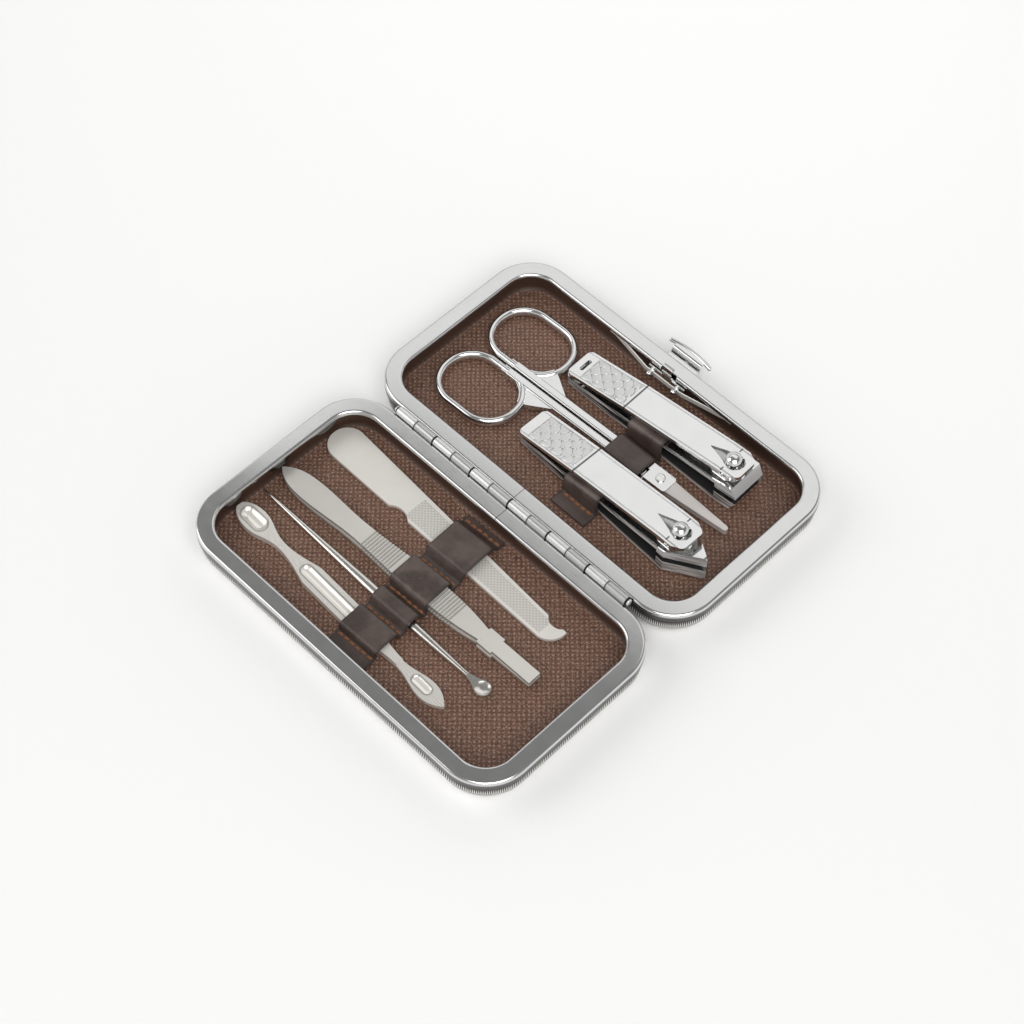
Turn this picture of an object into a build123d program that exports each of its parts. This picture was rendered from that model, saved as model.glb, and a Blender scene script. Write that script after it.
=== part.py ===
from build123d import *
import os

# Manicure set case, open flat: two framed trays on one hinge, with seven tools held in leather loops.
# Millimetres. X runs along the hinge, Y from the lid tray to the base tray, Z up.
# The origin is the middle of the base tray's underside.
os.makedirs("parts", exist_ok=True)

# Cutting bodies: how far they overrun a face, and a length that passes through any tool
overcut = 1.0
through = 40.0

# Trays
case_length = 116.0
tray_width = 65.0
tray_height = 10.8
corner_radius = 13.4
frame_band = 5.1
frame_sheet = 0.5
frame_skirt = 3.0
frame_lip = 1.5
frame_bend = 0.6
frame_seam = 0.16
seam_shift = 0.65
clamp_width = 9.0
clamp_drop = 1.7
clamp_pitch = 16.8
clamp_sheet = 0.35
cover_thickness = 0.8
board_thickness = 1.5
lining_thickness = 0.7
layer_gap = 0.06
cover_bottom_radius = 4.6

# Hinge
pin_radius = 0.7
pin_fit = 0.05
hinge_sheet = 0.55
seat_gap = 0.05
knuckle_pitch = 7.1
knuckle_count = 12
knuckle_play = 0.12
knuckle_relief = 0.15
leaf_drop = 3.0
rim_gap = 0.2
pin_head_radius = 1.0
pin_head_length = 0.6

# Latch
tab_width = 10.4
tab_sheet = 0.7
tab_drop = 2.05
tab_reach = 4.7
tab_rise = 1.95
tab_bend_gap = 0.5
tab_slope = 0.9
tab_lift = 0.1
tab_rim_radius = 0.65
tab_rim_width = 14.2
tab_rim_bow = 0.9
tab_clearance = 0.2
latch_travel = 1.3
flange_width = 13.0
flange_height = 1.9
flange_sheet = 0.5
flange_gap = 0.25
hook_width = 3.4
hook_rise = 2.35
hook_nose = 0.8
hook_depth = 0.45
rivet_pitch = 9.0
rivet_radius = 0.6
rivet_head_radius = 0.85
rivet_collar_radius = 0.95
rivet_collar = 0.95
rivet_end = 0.2
rivet_ball_share = 0.8
spring_sheet = 0.32
spring_height = 1.5
spring_span = 45.0
spring_flat = 13.0
spring_bend = 4.0
spring_ear = 1.9
spring_ear_rise = 0.75
spring_end_gap = 0.3
lip_notch = 5.6
lip_notch_depth = 0.9

# Straps
strap_thickness = 0.8
strap_clearance = 0.3
strap_bend = 0.7
lid_strap_width = 13.3
lid_strap_x = -0.95
lid_strap_skew = 1.84
base_strap_width = 12.4
base_strap_x = 9.5
lid_strap_tails = (5.35, 2.7)
base_strap_tails = (4.9, 3.4)

# Tools
tool_rest = 0.3
file_wall_gap = 1.12
tweezers_wall_gap = 0.72
ear_pick_wall_gap = 1.52
pusher_wall_gap = 1.32
ring_middle_x = -35.9

# File
file_thickness = 1.0
file_length = 88.6
file_heel = 10.8
file_toe = 6.0
file_hook = 7.0
file_notch_x = 31.5
file_notch_radius = 5.1
file_notch_sink = 0.7
file_nose = 4.6
file_nose_bend = (0.9, 2.2)
file_hook_radius = 3.6
file_hook_rise = 2.4
file_tip = 0.35

# Tweezers, with x and half width at each station of their plan
tweezers_stations = [(0.0, 0.0), (3.6, 2.3), (9.5, 3.4), (27.0, 2.75), (45.0, 3.4), (58.0, 3.6)]
tweezers_length = 93.5
tweezers_sheet = 0.9
tweezers_rise = 0.95
tweezers_peak = 0.55
tweezers_heel_gap = 0.02
tweezers_tip_gap = 0.5
tweezers_tip = 4.1
tweezers_tip_x = 75.0
nose_lap = 0.5
guide_length = 5.0
guide_reach = 0.7
rib_groups = ((33.5, 12), (58.5, 9))
rib_pitch = 0.95
rib_depth = 0.29

# Ear pick
ear_pick_length = 87.0
ear_wire_start = 0.3
ear_stem = 0.65
ear_swell = 1.4
ear_swell_height = 0.8
ear_swell_span = (0.52, 0.7)
ear_fan_lap = 1.5
ear_fan_shoulder = (1.2, 0.2)
ear_spoon_radius = 2.3
ear_spoon_fan = 5.5
ear_spoon_thickness = 1.1
ear_bowl_radius = 5.0
ear_bowl_depth = 0.45

# Cuticle pusher, with x and half width at each station of its plan
pusher_scoop_stations = [(0.0, 0.9), (0.6, 1.6), (3.2, 3.0), (9.5, 3.1)]
pusher_neck_stations = [(14.5, 1.5), (20.0, 1.15), (26.0, 2.2)]
pusher_tail_stations = [(54.0, 2.3), (61.0, 1.35), (67.0, 1.3), (73.0, 2.6)]
pusher_length = 82.0
pusher_thickness = 2.0
pusher_body_width = 6.4
pusher_body_start = 30.0
pusher_body_end = 47.0
pusher_body_lap = 0.1
pusher_tip = 0.15
pusher_blade_thickness = 1.3
pusher_blade_start = 65.0
scoop_run = (4.0, 8.6)
flute_run = (28.0, 52.0)
leaf_run = (71.5, 75.5)
scoop_radius = 3.2
scoop_depth = 0.9
flute_radius = 2.2
flute_depth = 0.85
leaf_radius = 2.6
leaf_depth = 0.4

# Scissors
scissors_thickness = 2.8
scissors_play = 0.04
lap_play = 0.35
ring_length = 27.0
ring_width = 20.6
ring_wire = 2.2
ring_reach = 56.4
ring_flat = 0.3
shank_width = 2.55
shank_gap = 0.25
joint_length = 7.2
joint_width = 5.6
joint_corner = 0.9
web_sheet = 1.8
web_length = 7.0
web_width = 7.4
web_corner = (0.2, 1.2)
web_tail = 0.6
blade_length = 19.0
blade_root = 4.4
blade_tip = 1.6
blade_relief = 0.4
blade_lap = 0.5
shank_rounding = 0.55
screw_radius = 0.95
screw_fit = 0.02
screw_head_radius = 1.35
screw_head = 0.45
screw_head_share = 0.6
screw_slot = 0.5

# Clippers
jaw_sheet = 1.4
jaw_rear_width = 9.4
jaw_front_width = 12.2
jaw_land = 6.0
jaw_lift = 5.7
jaw_run = 50.0
jaw_cut_gap = 2.0
jaw_gap = 0.08
jaw_rear_corner = 2.0
jaw_rivet_x = 4.0
jaw_rivet_play = 0.15
post_x = 56.0
post_radius = 1.6
post_foot_radius = 2.4
post_foot = 0.6
post_head_radius = 2.2
post_head_rise = 0.9
post_head_gap = 0.9
post_head_rounding = 0.8
post_fit = 0.08
post_hole_play = 0.5
lever_sheet = 1.2
lever_pin_height = 12.3
lever_pin_radius = 0.8
lever_pin_drop = 0.75
lever_kink_x = 22.3
lever_kink_height = 8.4
lever_rear_x = 0.6
lever_rear_height = 5.0
wide_lever_width = 10.0
point_lever_width = 10.4
lever_front = 4.6
lever_front_taper = (3.1, 1.5)
lever_bend = 6.0
lever_bend_x = 3.5
lever_pin_inset = 0.6
lever_tail = 8.2
lever_tail_width = 3.8
lever_tail_end = 2.2
lever_corner = 1.6
hood_length = 4.2
hood_slope = 1.4
hood_front = 1.2
hood_depth = 1.5
hood_lift = 0.3
window_play = 0.95
window_side_play = 0.3
window_shift = 0.15
lever_slot_x = 2.6
lever_slot_length = 4.4
lever_slot_width = 1.3
wide_nose = 6.0
point_nose = 10.0
nose_sheet = 1.3
nose_overlap = 3.0
nose_rounding = 1.2
nose_taper = 0.4
point_wall_share = 1.9
bevel_angle = 26.0
wide_clipper_length = 62.0
point_clipper_length = 66.0
clipper_rivet_radius = 1.1
clipper_rivet_head_radius = 1.7
clipper_rivet_head = 0.35

# Places in the trays: each tool's distance across from its tray's middle, and its turn
file_place_y, file_turn = 13.9, -0.6
tweezers_place_y, tweezers_turn = 1.0, 1.1
ear_pick_place_y, ear_pick_turn = -6.6, -0.8
pusher_place_y, pusher_turn = -14.8, -2.6
scissors_place_y, scissors_turn = 2.6, 1.9
wide_clipper_at, wide_clipper_turn = (-21.5, 13.7), 1.45
point_clipper_at, point_clipper_turn = (-16.5, -9.7), -1.4

# Places that follow from the sizes above
knuckle_radius = pin_radius + pin_fit + hinge_sheet
hinge_gap = knuckle_radius + seat_gap
hinge_y = tray_width / 2 + hinge_gap
hinge_z = tray_height + rim_gap / 2
lid_y = -2 * hinge_y
cover_inset = frame_sheet + layer_gap
board_inset = cover_inset + cover_thickness + layer_gap
lining_inset = board_inset + board_thickness + layer_gap
cavity_inset = lining_inset + lining_thickness
floor_z = cavity_inset - cover_inset
layer_top = tray_height - frame_sheet - layer_gap
tool_z = floor_z + tool_rest
strap_z = floor_z + layer_gap + strap_thickness / 2
lever_pin_z = lever_pin_height - lever_pin_drop


def extruded_x(face, half):
    """A YZ face drawn out to both sides along X."""
    return extrude(Plane.YZ * face, half, both=True)


def extruded_y(face, half):
    """An XZ face drawn out to both sides along Y."""
    return extrude(Plane.XZ * face, half, both=True)


def block(x0, x1, y0, y1, z0, z1):
    """A plain box between two corners."""
    return Pos((x0 + x1) / 2, (y0 + y1) / 2, (z0 + z1) / 2) * Box(x1 - x0, y1 - y0, z1 - z0)


def shifted_line(points, radius, shift):
    """A polyline moved sideways, its corners rounded about the same centres as before."""
    places = [Vector(*p) for p in points]
    runs = [(b - a).normalized() for a, b in zip(places, places[1:])]
    normals = [Vector(-run.Y, run.X) for run in runs]
    moved = [places[0] + normals[0] * shift]
    radii = []
    for k, place in enumerate(places[1:-1]):
        before, after = normals[k], normals[k + 1]
        moved.append(place + (before + after) * (shift / (1 + before.dot(after))))
        left_turn = runs[k].cross(runs[k + 1]).Z > 0
        radii.append(radius - shift if left_turn else radius + shift)
    moved.append(places[-1] + normals[-1] * shift)
    return FilletPolyline(*moved, radius=radii)


def band(points, thickness, radius):
    """The face of a bent strip of even thickness whose middle line has rounded corners."""
    left = shifted_line(points, radius, thickness / 2)
    right = shifted_line(points, radius, -thickness / 2)
    ends = [Line(left @ 0, right @ 0), Line(left @ 1, right @ 1)]
    return make_face([*left.edges(), *right.edges(), *[e for line in ends for e in line.edges()]])


def tapered_outline(stations):
    """A closed outline that is the same on both sides of X, from stations of x and half width."""
    first, last = stations[0], stations[-1]
    top = Spline(*stations)
    bottom = Spline(*[(x, -w) for x, w in stations])
    ends = [Line((x, -w), (x, w)) for x, w in (first, last) if w > 0]
    return make_face([*top.edges(), *bottom.edges(), *[e for line in ends for e in line.edges()]])


# Trays, drawn with the hinge on the +Y side and the underside at zero height

def outline(inset):
    """The tray's plan, drawn in by inset."""
    return RectangleRounded(case_length - 2 * inset, tray_width - 2 * inset, corner_radius - inset)


def pan(inset, high):
    """A block of the tray's plan whose bottom edge is rounded, as deep as its inset asks."""
    low = inset - cover_inset
    body = extrude(Pos(0, 0, low) * outline(inset), high - low)
    return fillet(body.edges().group_by(Axis.Z)[0], cover_bottom_radius - low)


def shell(inset, thickness):
    """One formed layer of the tray: cover, board or lining."""
    return pan(inset, layer_top) - pan(inset + thickness, tray_height)


def frame_path():
    """The frame strip's run round the tray, from one side of its butt seam to the other."""
    x, y = case_length / 2, tray_width / 2
    corners = [(x, y), (x, -y), (-x, -y), (-x, y)]
    start = (seam_shift + frame_seam / 2, y)
    end = (seam_shift - frame_seam / 2, y)
    return FilletPolyline(start, *corners, end, radius=corner_radius)


def rolled_frame():
    """The metal rim: an outer skirt, a flat band and an inner lip, rolled from one strip."""
    outer = tray_width / 2 - frame_sheet / 2
    inner = tray_width / 2 - frame_band + frame_sheet / 2
    top = tray_height - frame_sheet / 2
    points = [
        (outer, tray_height - frame_skirt + frame_sheet / 2),
        (outer, top),
        (inner, top),
        (inner, tray_height - frame_lip + frame_sheet / 2),
    ]
    section = Plane(origin=(seam_shift + frame_seam / 2, 0, 0), x_dir=(0, 1, 0), z_dir=(1, 0, 0))
    return sweep(section * band(points, frame_sheet, frame_bend), path=frame_path())


def clamp_tabs():
    """The round-ended tongues of the lip that grip the lining on both short sides."""
    tabs = []
    for side in (-1, 1):
        x = side * (case_length / 2 - frame_band + clamp_sheet / 2)
        low = tray_height - frame_lip - clamp_drop
        for k in (-1, 0, 1):
            disc = Plane.YZ.offset(x) * Pos(k * clamp_pitch, low + clamp_width / 2) * Circle(clamp_width / 2)
            tongue = extrude(disc, clamp_sheet / 2, both=True)
            under_bend = block(x - overcut, x + overcut, -tray_width, tray_width, 0, tray_height - frame_bend)
            tabs.append(tongue & under_bend)
    return tabs


def latch_slot():
    """The way through the frame's skirt for the latch tab."""
    half = tab_width / 2 + tab_clearance
    high = tray_height - tab_drop + tab_sheet / 2 + tab_clearance
    low = tray_height - tab_drop - tab_sheet / 2 - tab_clearance
    skirt = -tray_width / 2
    return block(-half, half, skirt - overcut, skirt + frame_sheet + overcut, low, high)


def lip_cut():
    """The notch in the lip and the band's inner edge, where the hook stands."""
    inner = -tray_width / 2 + frame_band
    half, high = lip_notch / 2, tray_height + overcut
    return block(-half, half, inner - lip_notch_depth, inner + overcut, 0, high)


def latch_notch():
    """The cut in the cover, board and lining that the latch tab passes through."""
    half = tab_width / 2 + tab_clearance
    low = tray_height - tab_drop - tab_sheet / 2 - tab_clearance
    return block(-half, half, -tray_width / 2, -tray_width / 2 + frame_band, low, tray_height)


def hinge_leaf():
    """One leaf of the hinge: a strip on the skirt, its knuckles curled from the same sheet."""
    span = knuckle_count * knuckle_pitch
    face_y = hinge_y - knuckle_radius
    leaf = block(-span / 2, span / 2, face_y, face_y + hinge_sheet, hinge_z - leaf_drop, hinge_z)
    axis = Plane(origin=(0, hinge_y, hinge_z), x_dir=(0, 1, 0), z_dir=(1, 0, 0))
    for k in range(knuckle_count):
        middle = (k + 0.5) * knuckle_pitch - span / 2
        place = axis.offset(middle)
        if k % 2:
            curl = extrude(place * Circle(knuckle_radius), knuckle_pitch / 2 - knuckle_play, both=True)
            leaf += curl
        else:
            relief = place * Circle(knuckle_radius + knuckle_relief)
            leaf -= extrude(relief, knuckle_pitch / 2, both=True)
    return leaf - extrude(axis * Circle(pin_radius + pin_fit), span, both=True)


def hinge_pin():
    """The long pin with a peened head at each end."""
    half = knuckle_count * knuckle_pitch / 2 + knuckle_play
    axis = Plane(origin=(0, -hinge_y, hinge_z), x_dir=(0, 1, 0), z_dir=(1, 0, 0))
    pin = extrude(axis * Circle(pin_radius), half, both=True)
    for side in (-1, 1):
        middle = side * (half + pin_head_length / 2)
        head = extrude(axis.offset(middle) * Circle(pin_head_radius), pin_head_length / 2, both=True)
        outer = head.faces().sort_by(Axis.X)[-1 if side > 0 else 0]
        pin += fillet(outer.edges(), pin_head_length / 2)
    return pin


def cover():
    """The outer layer, its top edge rounded to lie inside the frame's bend."""
    block_out = pan(cover_inset, layer_top)
    rounding = frame_bend - frame_sheet / 2 - layer_gap
    rounded = fillet(block_out.edges().group_by(Axis.Z)[-1], rounding)
    return rounded - pan(cover_inset + cover_thickness, tray_height)


def tray(frame, cuts=()):
    """A tray's four layers, placed in the tray's own frame."""
    parts = {
        "frame": frame,
        "cover": cover(),
        "board": shell(board_inset, board_thickness),
        "lining": shell(lining_inset, lining_thickness),
    }
    for name in ("cover", "board", "lining"):
        for cut in cuts:
            parts[name] = parts[name] - cut
    return parts


# Latch, on the base tray's far side

def latch_tab():
    """The thumb tab, its plate through the skirt, the rivet flange and the hook, all one stamping."""
    wall = tray_width / 2
    lip = wall - frame_band
    level = tray_height - tab_drop
    bend = wall + latch_travel + tab_bend_gap
    high = level + tab_rise
    tip = wall + tab_reach
    flange_y = lip - flange_gap - flange_sheet / 2
    side = [(flange_y, level), (bend, level), (bend + tab_slope, high), (tip, high + tab_lift)]
    tab = extruded_x(band(side, tab_sheet, tab_sheet), tab_width / 2)
    rim_end = (tab_rim_width / 2, tip - tab_rim_bow)
    rim_line = Pos(0, 0, high + tab_lift) * ThreePointArc((-rim_end[0], rim_end[1]), (0, tip), rim_end)
    section = Plane(origin=rim_line @ 0, z_dir=rim_line % 0) * Circle(tab_rim_radius)
    tab += sweep(section, path=rim_line)
    for end in (rim_line @ 0, rim_line @ 1):
        tab += Pos(end) * Sphere(tab_rim_radius)
    inside, outside = flange_y - flange_sheet / 2, flange_y + flange_sheet / 2
    low = level + tab_sheet / 2 - flange_height
    tab += block(-flange_width / 2, flange_width / 2, inside, outside, low, level + tab_sheet / 2)
    top = tray_height + hook_rise
    profile = [
        (inside, level),
        (inside, top),
        (outside, top),
        (outside + hook_nose, top - hook_depth / 2),
        (outside + hook_nose, top - hook_depth),
        (outside, top - hook_depth),
        (outside, level),
    ]
    return tab + extruded_x(make_face(Polyline(*profile, close=True)), hook_width / 2)


def latch_place():
    """Where the rivets start on the flange's inner face, and at what height."""
    inside = tray_width / 2 - frame_band - flange_gap - flange_sheet
    return inside, tray_height - tab_drop


def latch_rivets():
    """Two ball-headed rivets that carry the spring off the flange."""
    start, level = latch_place()
    group = []
    for side in (-1, 1):
        axis = Plane(origin=(side * rivet_pitch / 2, start, level), z_dir=(0, -1, 0))
        length = rivet_collar + spring_sheet + rivet_end
        shank = extrude(axis * Circle(rivet_radius), length)
        collar = extrude(axis * Circle(rivet_collar_radius), rivet_collar - seat_gap)
        ball = axis.offset(length + rivet_head_radius * rivet_ball_share) * Sphere(rivet_head_radius)
        group.append(shank + collar + ball)
    return Compound(group)


def latch_spring():
    """The leaf spring: flat at the rivets, its two legs held by ears behind the frame's lip."""
    start, level = latch_place()
    middle = start - rivet_collar - spring_sheet / 2
    end = tray_width / 2 - frame_band + frame_sheet + spring_end_gap + spring_sheet / 2
    half, flat = spring_span / 2, spring_flat / 2
    right_leg = [(flat, middle), (half - spring_ear, end), (half, end)]
    line = [(-x, y) for x, y in reversed(right_leg)] + right_leg
    high = tray_height - frame_lip - seat_gap
    leaf = extrude(Pos(0, 0, high - spring_height) * band(line, spring_sheet, spring_bend), spring_height)
    for side in (-1, 1):
        ear_x = side * (half - spring_ear / 2)
        near, far = end - spring_sheet / 2, end + spring_sheet / 2
        low = high - spring_height
        leaf += block(ear_x - spring_ear / 2, ear_x + spring_ear / 2, near, far, low, high + spring_ear_rise)
        axis = Plane(origin=(side * rivet_pitch / 2, start, level), z_dir=(0, -1, 0))
        leaf -= extrude(axis * Circle(rivet_radius + pin_fit), 2 * (rivet_collar + spring_sheet))
    return leaf


# Straps

def strap_section(loops, side, tails):
    """The strap's cut at one edge: flat where it is sewn down, arched over each tool."""
    points = []
    for middle, half, lean, heights in loops:
        rise = tool_z + heights[side] + strap_clearance + strap_thickness / 2
        crown = half + strap_clearance + strap_thickness / 2
        points += [
            (middle - crown - lean, strap_z),
            (middle - crown, rise),
            (middle + crown, rise),
            (middle + crown + lean, strap_z),
        ]
    start, end = points[0][0] - tails[0], points[-1][0] + tails[1]
    return band([(start, strap_z), *points, (end, strap_z)], strap_thickness, strap_bend)


def strap(loops, width, tails):
    """A leather strap along Y, sewn down between the tools that it holds."""
    left = Plane.YZ.offset(-width / 2) * strap_section(loops, 0, tails)
    right = Plane.YZ.offset(width / 2) * strap_section(loops, 1, tails)
    return loft([left.face(), right.face()], ruled=True)


# Tools, each with X along it and its underside at zero height

def nail_file():
    """A flat file with a round heel, a thumb notch and a hooked toe."""
    slope = (file_heel - file_toe) / file_length
    heel = file_heel / 2
    toe_x = file_length - file_hook
    top = Line((heel, file_heel), (toe_x, file_heel - slope * toe_x))
    back = ThreePointArc((heel, 0), (0, heel), (heel, file_heel))
    nose_x = file_length - file_nose
    under = Line((heel, 0), (nose_x, 0))
    bend = (file_length - file_nose_bend[0], file_nose_bend[1])
    nose = ThreePointArc((nose_x, 0), bend, (file_length, file_toe))
    shut = Line((file_length, file_toe), (toe_x, file_heel - slope * toe_x))
    plan = make_face([*top.edges(), *back.edges(), *under.edges(), *nose.edges(), *shut.edges()])
    hook_x = file_length - file_hook_radius - file_tip
    plan -= Pos(hook_x, file_toe + file_hook_rise) * Circle(file_hook_radius)
    plan -= Pos(file_notch_x, -file_notch_sink * file_notch_radius) * Circle(file_notch_radius)
    return extrude(plan, file_thickness)


def tweezers_plan():
    """Half widths along the tweezers: spear-shaped heel, waist, broad grip, narrow tip."""
    tip = tweezers_tip / 2
    start = tweezers_tip_x - nose_lap
    nose = Pos(start, 0) * Rectangle(tweezers_length - start, tweezers_tip, align=(Align.MIN, Align.CENTER))
    return tapered_outline([*tweezers_stations, (tweezers_tip_x, tip)]) + nose


def tweezers_arc(height):
    """A leaf's arch between its welded heel and its tip, raised by some height."""
    grip = tweezers_length * tweezers_peak
    points = [(0, tweezers_heel_gap), (grip, tweezers_rise), (tweezers_length, tweezers_tip_gap / 2)]
    return ThreePointArc(*[(x, z + height) for x, z in points])


def tweezers_side():
    """The side view of one leaf."""
    under, over = tweezers_arc(0), tweezers_arc(tweezers_sheet)
    ends = [Line(under @ 0, over @ 0), Line(under @ 1, over @ 1)]
    return make_face([*under.edges(), *over.edges(), *[e for line in ends for e in line.edges()]])


def tweezers_rib(x):
    """One cross groove in the leaf's outer face, at its height on the arch."""
    arch = tweezers_arc(tweezers_sheet)
    middle = arch.arc_center
    height = middle.Y + (arch.radius ** 2 - (x - middle.X) ** 2) ** 0.5
    return Pos(x, 0, height) * Rot(90, 0, 0) * Cylinder(rib_depth, through)


def tweezers_leaf():
    """The upper leaf about the parting plane; the lower one is its mirror image."""
    side = extruded_y(tweezers_side(), through)
    leaf = extrude(tweezers_plan(), through) & side
    reach = tweezers_tip / 2 + guide_reach
    start = tweezers_tip_x + nose_lap
    leaf += block(start, start + guide_length, -reach, reach, 0, through) & side
    for start, count in rib_groups:
        for k in range(count):
            leaf -= tweezers_rib(start + k * rib_pitch)
    return leaf


def ear_pick():
    """A stem that swells at the loop and ends in a fan with a shallow cup."""
    neck = ear_pick_length - ear_spoon_radius - ear_spoon_fan
    stations = [
        (0.0, ear_wire_start, ear_wire_start),
        (neck * ear_swell_span[0], ear_swell, ear_swell_height),
        (neck * ear_swell_span[1], ear_swell, ear_swell_height),
        (neck, ear_stem, ear_stem),
    ]
    cuts = []
    for x, half, height in stations:
        plane = Plane(origin=(x, 0, ear_swell_height), x_dir=(0, 1, 0), z_dir=(1, 0, 0))
        cuts.append(plane * Ellipse(half, height))
    middle = ear_pick_length - ear_spoon_radius
    shoulder = (middle - ear_fan_shoulder[0], ear_spoon_radius - ear_fan_shoulder[1])
    fan = tapered_outline([(neck - ear_fan_lap, ear_stem), (neck, ear_stem), shoulder])
    fan += Pos(middle, 0) * Circle(ear_spoon_radius)
    bowl = Pos(middle, 0, ear_spoon_thickness + ear_bowl_radius - ear_bowl_depth) * Sphere(ear_bowl_radius)
    return loft(cuts, ruled=True) + (extrude(fan, ear_spoon_thickness) - bowl)


def trough(start, end, radius, surface, depth):
    """A round-ended hollow along X, cut into a surface at some height."""
    z = surface + radius - depth
    body = Pos((start + end) / 2, 0, z) * Rot(0, 90, 0) * Cylinder(radius, end - start)
    return body + Pos(start, 0, z) * Sphere(radius) + Pos(end, 0, z) * Sphere(radius)


def cuticle_pusher():
    """A flat pusher: scooped heel, thin neck, fluted body, neck and a leaf-shaped blade."""
    body = pusher_body_width / 2
    start, end = pusher_body_start - pusher_body_lap, pusher_body_end + pusher_body_lap
    head = tapered_outline([*pusher_scoop_stations, *pusher_neck_stations, (pusher_body_start, body)])
    grip = Pos(start, 0) * Rectangle(end - start, pusher_body_width, align=(Align.MIN, Align.CENTER))
    tail = tapered_outline([(pusher_body_end, body), *pusher_tail_stations, (pusher_length, pusher_tip)])
    blank = extrude(head + grip + tail, pusher_thickness)
    blade_top = (pusher_blade_thickness, pusher_thickness + overcut)
    blank -= block(pusher_blade_start, pusher_length + overcut, -body, body, *blade_top)
    blank -= trough(*scoop_run, scoop_radius, pusher_thickness, scoop_depth)
    blank -= trough(*flute_run, flute_radius, pusher_thickness, flute_depth)
    return blank - trough(*leaf_run, leaf_radius, pusher_blade_thickness, leaf_depth)


def finger_ring():
    """An oval finger ring of flattened wire, its inner side on the scissors' middle line."""
    middle = ring_width / 2 + shank_gap
    length, width = ring_length - ring_wire, ring_width - ring_wire
    oval = RectangleRounded(length, width, width / 2 - ring_flat)
    path = (Pos(-ring_reach, middle, scissors_thickness / 2) * oval).wire()
    along = path % 0
    start = Plane(origin=path @ 0, x_dir=Vector(along.Y, -along.X, 0), z_dir=along)
    return sweep(start * Ellipse(ring_wire / 2, scissors_thickness / 2), path=path)


def ring_web():
    """The flat web that fills the corner between a finger ring and its shank."""
    middle = ring_width / 2 + shank_gap
    front = ring_length / 2 - ring_reach
    corners = [
        (-ring_reach, shank_gap),
        (-ring_reach, shank_gap + ring_wire),
        (front - ring_wire, shank_gap + web_width),
        (front + web_corner[0], shank_gap + web_width - web_corner[1]),
        (front + web_length, shank_gap + shank_width - web_tail),
        (front + web_length, shank_gap),
    ]
    hole_width = ring_width - 2 * ring_wire
    hole = RectangleRounded(ring_length - 2 * ring_wire, hole_width, hole_width / 2 - ring_flat)
    plan = make_face(Polyline(*corners, close=True)) - Pos(-ring_reach, middle) * hole
    return extrude(Pos(0, 0, (scissors_thickness - web_sheet) / 2) * plan, web_sheet)


def joint_plate(low, high):
    """One leaf of the box joint, with rounded front corners."""
    start = -joint_length / 2 - lap_play
    plate = block(start, joint_length / 2, -joint_width / 2, joint_width / 2, low, high)
    return fillet(plate.edges().filter_by(Axis.Z).group_by(Axis.X)[-1], joint_corner)


def blade(low, high):
    """One flat blade from the box joint to its tip, between two heights."""
    root, tip = joint_length / 2 - blade_lap, joint_length / 2 + blade_length
    half, end = blade_root / 2, blade_tip / 2
    edge = Line((root, -half), (tip, -end))
    point = ThreePointArc((tip, -end), (tip + end, 0), (tip, end))
    back = Line((tip, end), (root, half))
    shut = Line((root, half), (root, -half))
    plan = make_face([*edge.edges(), *point.edges(), *back.edges(), *shut.edges()])
    return extrude(Pos(0, 0, low) * plan, high - low)


def scissors_half(upper):
    """Half of the scissors about the pivot: ring, shank, lap plate and blade."""
    middle = scissors_thickness / 2
    low, high = (middle + scissors_play / 2, scissors_thickness) if upper else (0, middle - scissors_play / 2)
    end = -joint_length / 2 - lap_play
    near, far = shank_gap, shank_gap + shank_width
    shank = block(-ring_reach + ring_wire, end - lap_play, near, far, 0, scissors_thickness)
    shank = fillet(shank.edges().filter_by(Axis.X), shank_rounding)
    neck = block(end - 2 * lap_play, end + lap_play, near, far, low, high)
    half = shank + neck + finger_ring() + ring_web()
    if not upper:
        half = mirror(half, Plane.XZ)
    half += joint_plate(low, high)
    half += blade(low, high - blade_relief) if upper else blade(low + blade_relief, high)
    bore = screw_radius + (pin_fit if upper else 0)
    return half - Cylinder(bore, 3 * scissors_thickness)


def scissors_screw():
    """The pivot screw, with a slotted head on the upper half."""
    low, seat = screw_fit, scissors_thickness + seat_gap
    high = seat + screw_fit
    shank = Pos(0, 0, (low + high) / 2) * Cylinder(screw_radius - screw_fit, high - low)
    head = Pos(0, 0, seat + screw_head / 2) * Cylinder(screw_head_radius, screw_head)
    head = fillet(head.edges().group_by(Axis.Z)[-1], screw_head * screw_head_share)
    slot = Pos(0, 0, seat + screw_head) * Box(2 * screw_head_radius + overcut, screw_slot, screw_head)
    return shank + (head - slot)


# Clippers, with X from the joined rear ends to the cutting edges

def jaw_plan(length, pointed):
    """The jaws' plan: slowly widening, then a straight edge or a point."""
    nose = point_nose if pointed else wide_nose
    rear, front = jaw_rear_width / 2, jaw_front_width / 2
    shoulder = length - nose
    if pointed:
        tip = [(shoulder, front), (length, 0), (shoulder, -front)]
    else:
        edge = front - nose_taper
        tip = [(shoulder, front), (length, edge), (length, -edge), (shoulder, -front)]
    body = make_face(Polyline((0, rear), *tip, (0, -rear), close=True))
    return fillet(body.vertices().group_by(Axis.X)[0], jaw_rear_corner)


def jaw_height(x):
    """Height of the upper jaw's top face over the clipper's underside."""
    rise = max(0.0, x - jaw_land) / jaw_run * jaw_lift
    return post_foot + 2 * jaw_sheet + jaw_gap + rise


def nose_wall(length, pointed, low, high):
    """The jaw's bent front: a wall under the plan's front edge, down to the cutting edge."""
    plan = jaw_plan(length, pointed)
    start = length - (point_nose if pointed else wide_nose) - nose_overlap
    outer = extrude(Pos(0, 0, low) * plan, high - low)
    inner = extrude(Pos(-nose_sheet * (point_wall_share if pointed else 1), 0, low) * plan, high - low)
    return (outer - inner) & block(start, length + overcut, -jaw_front_width, jaw_front_width, low, high)


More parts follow.
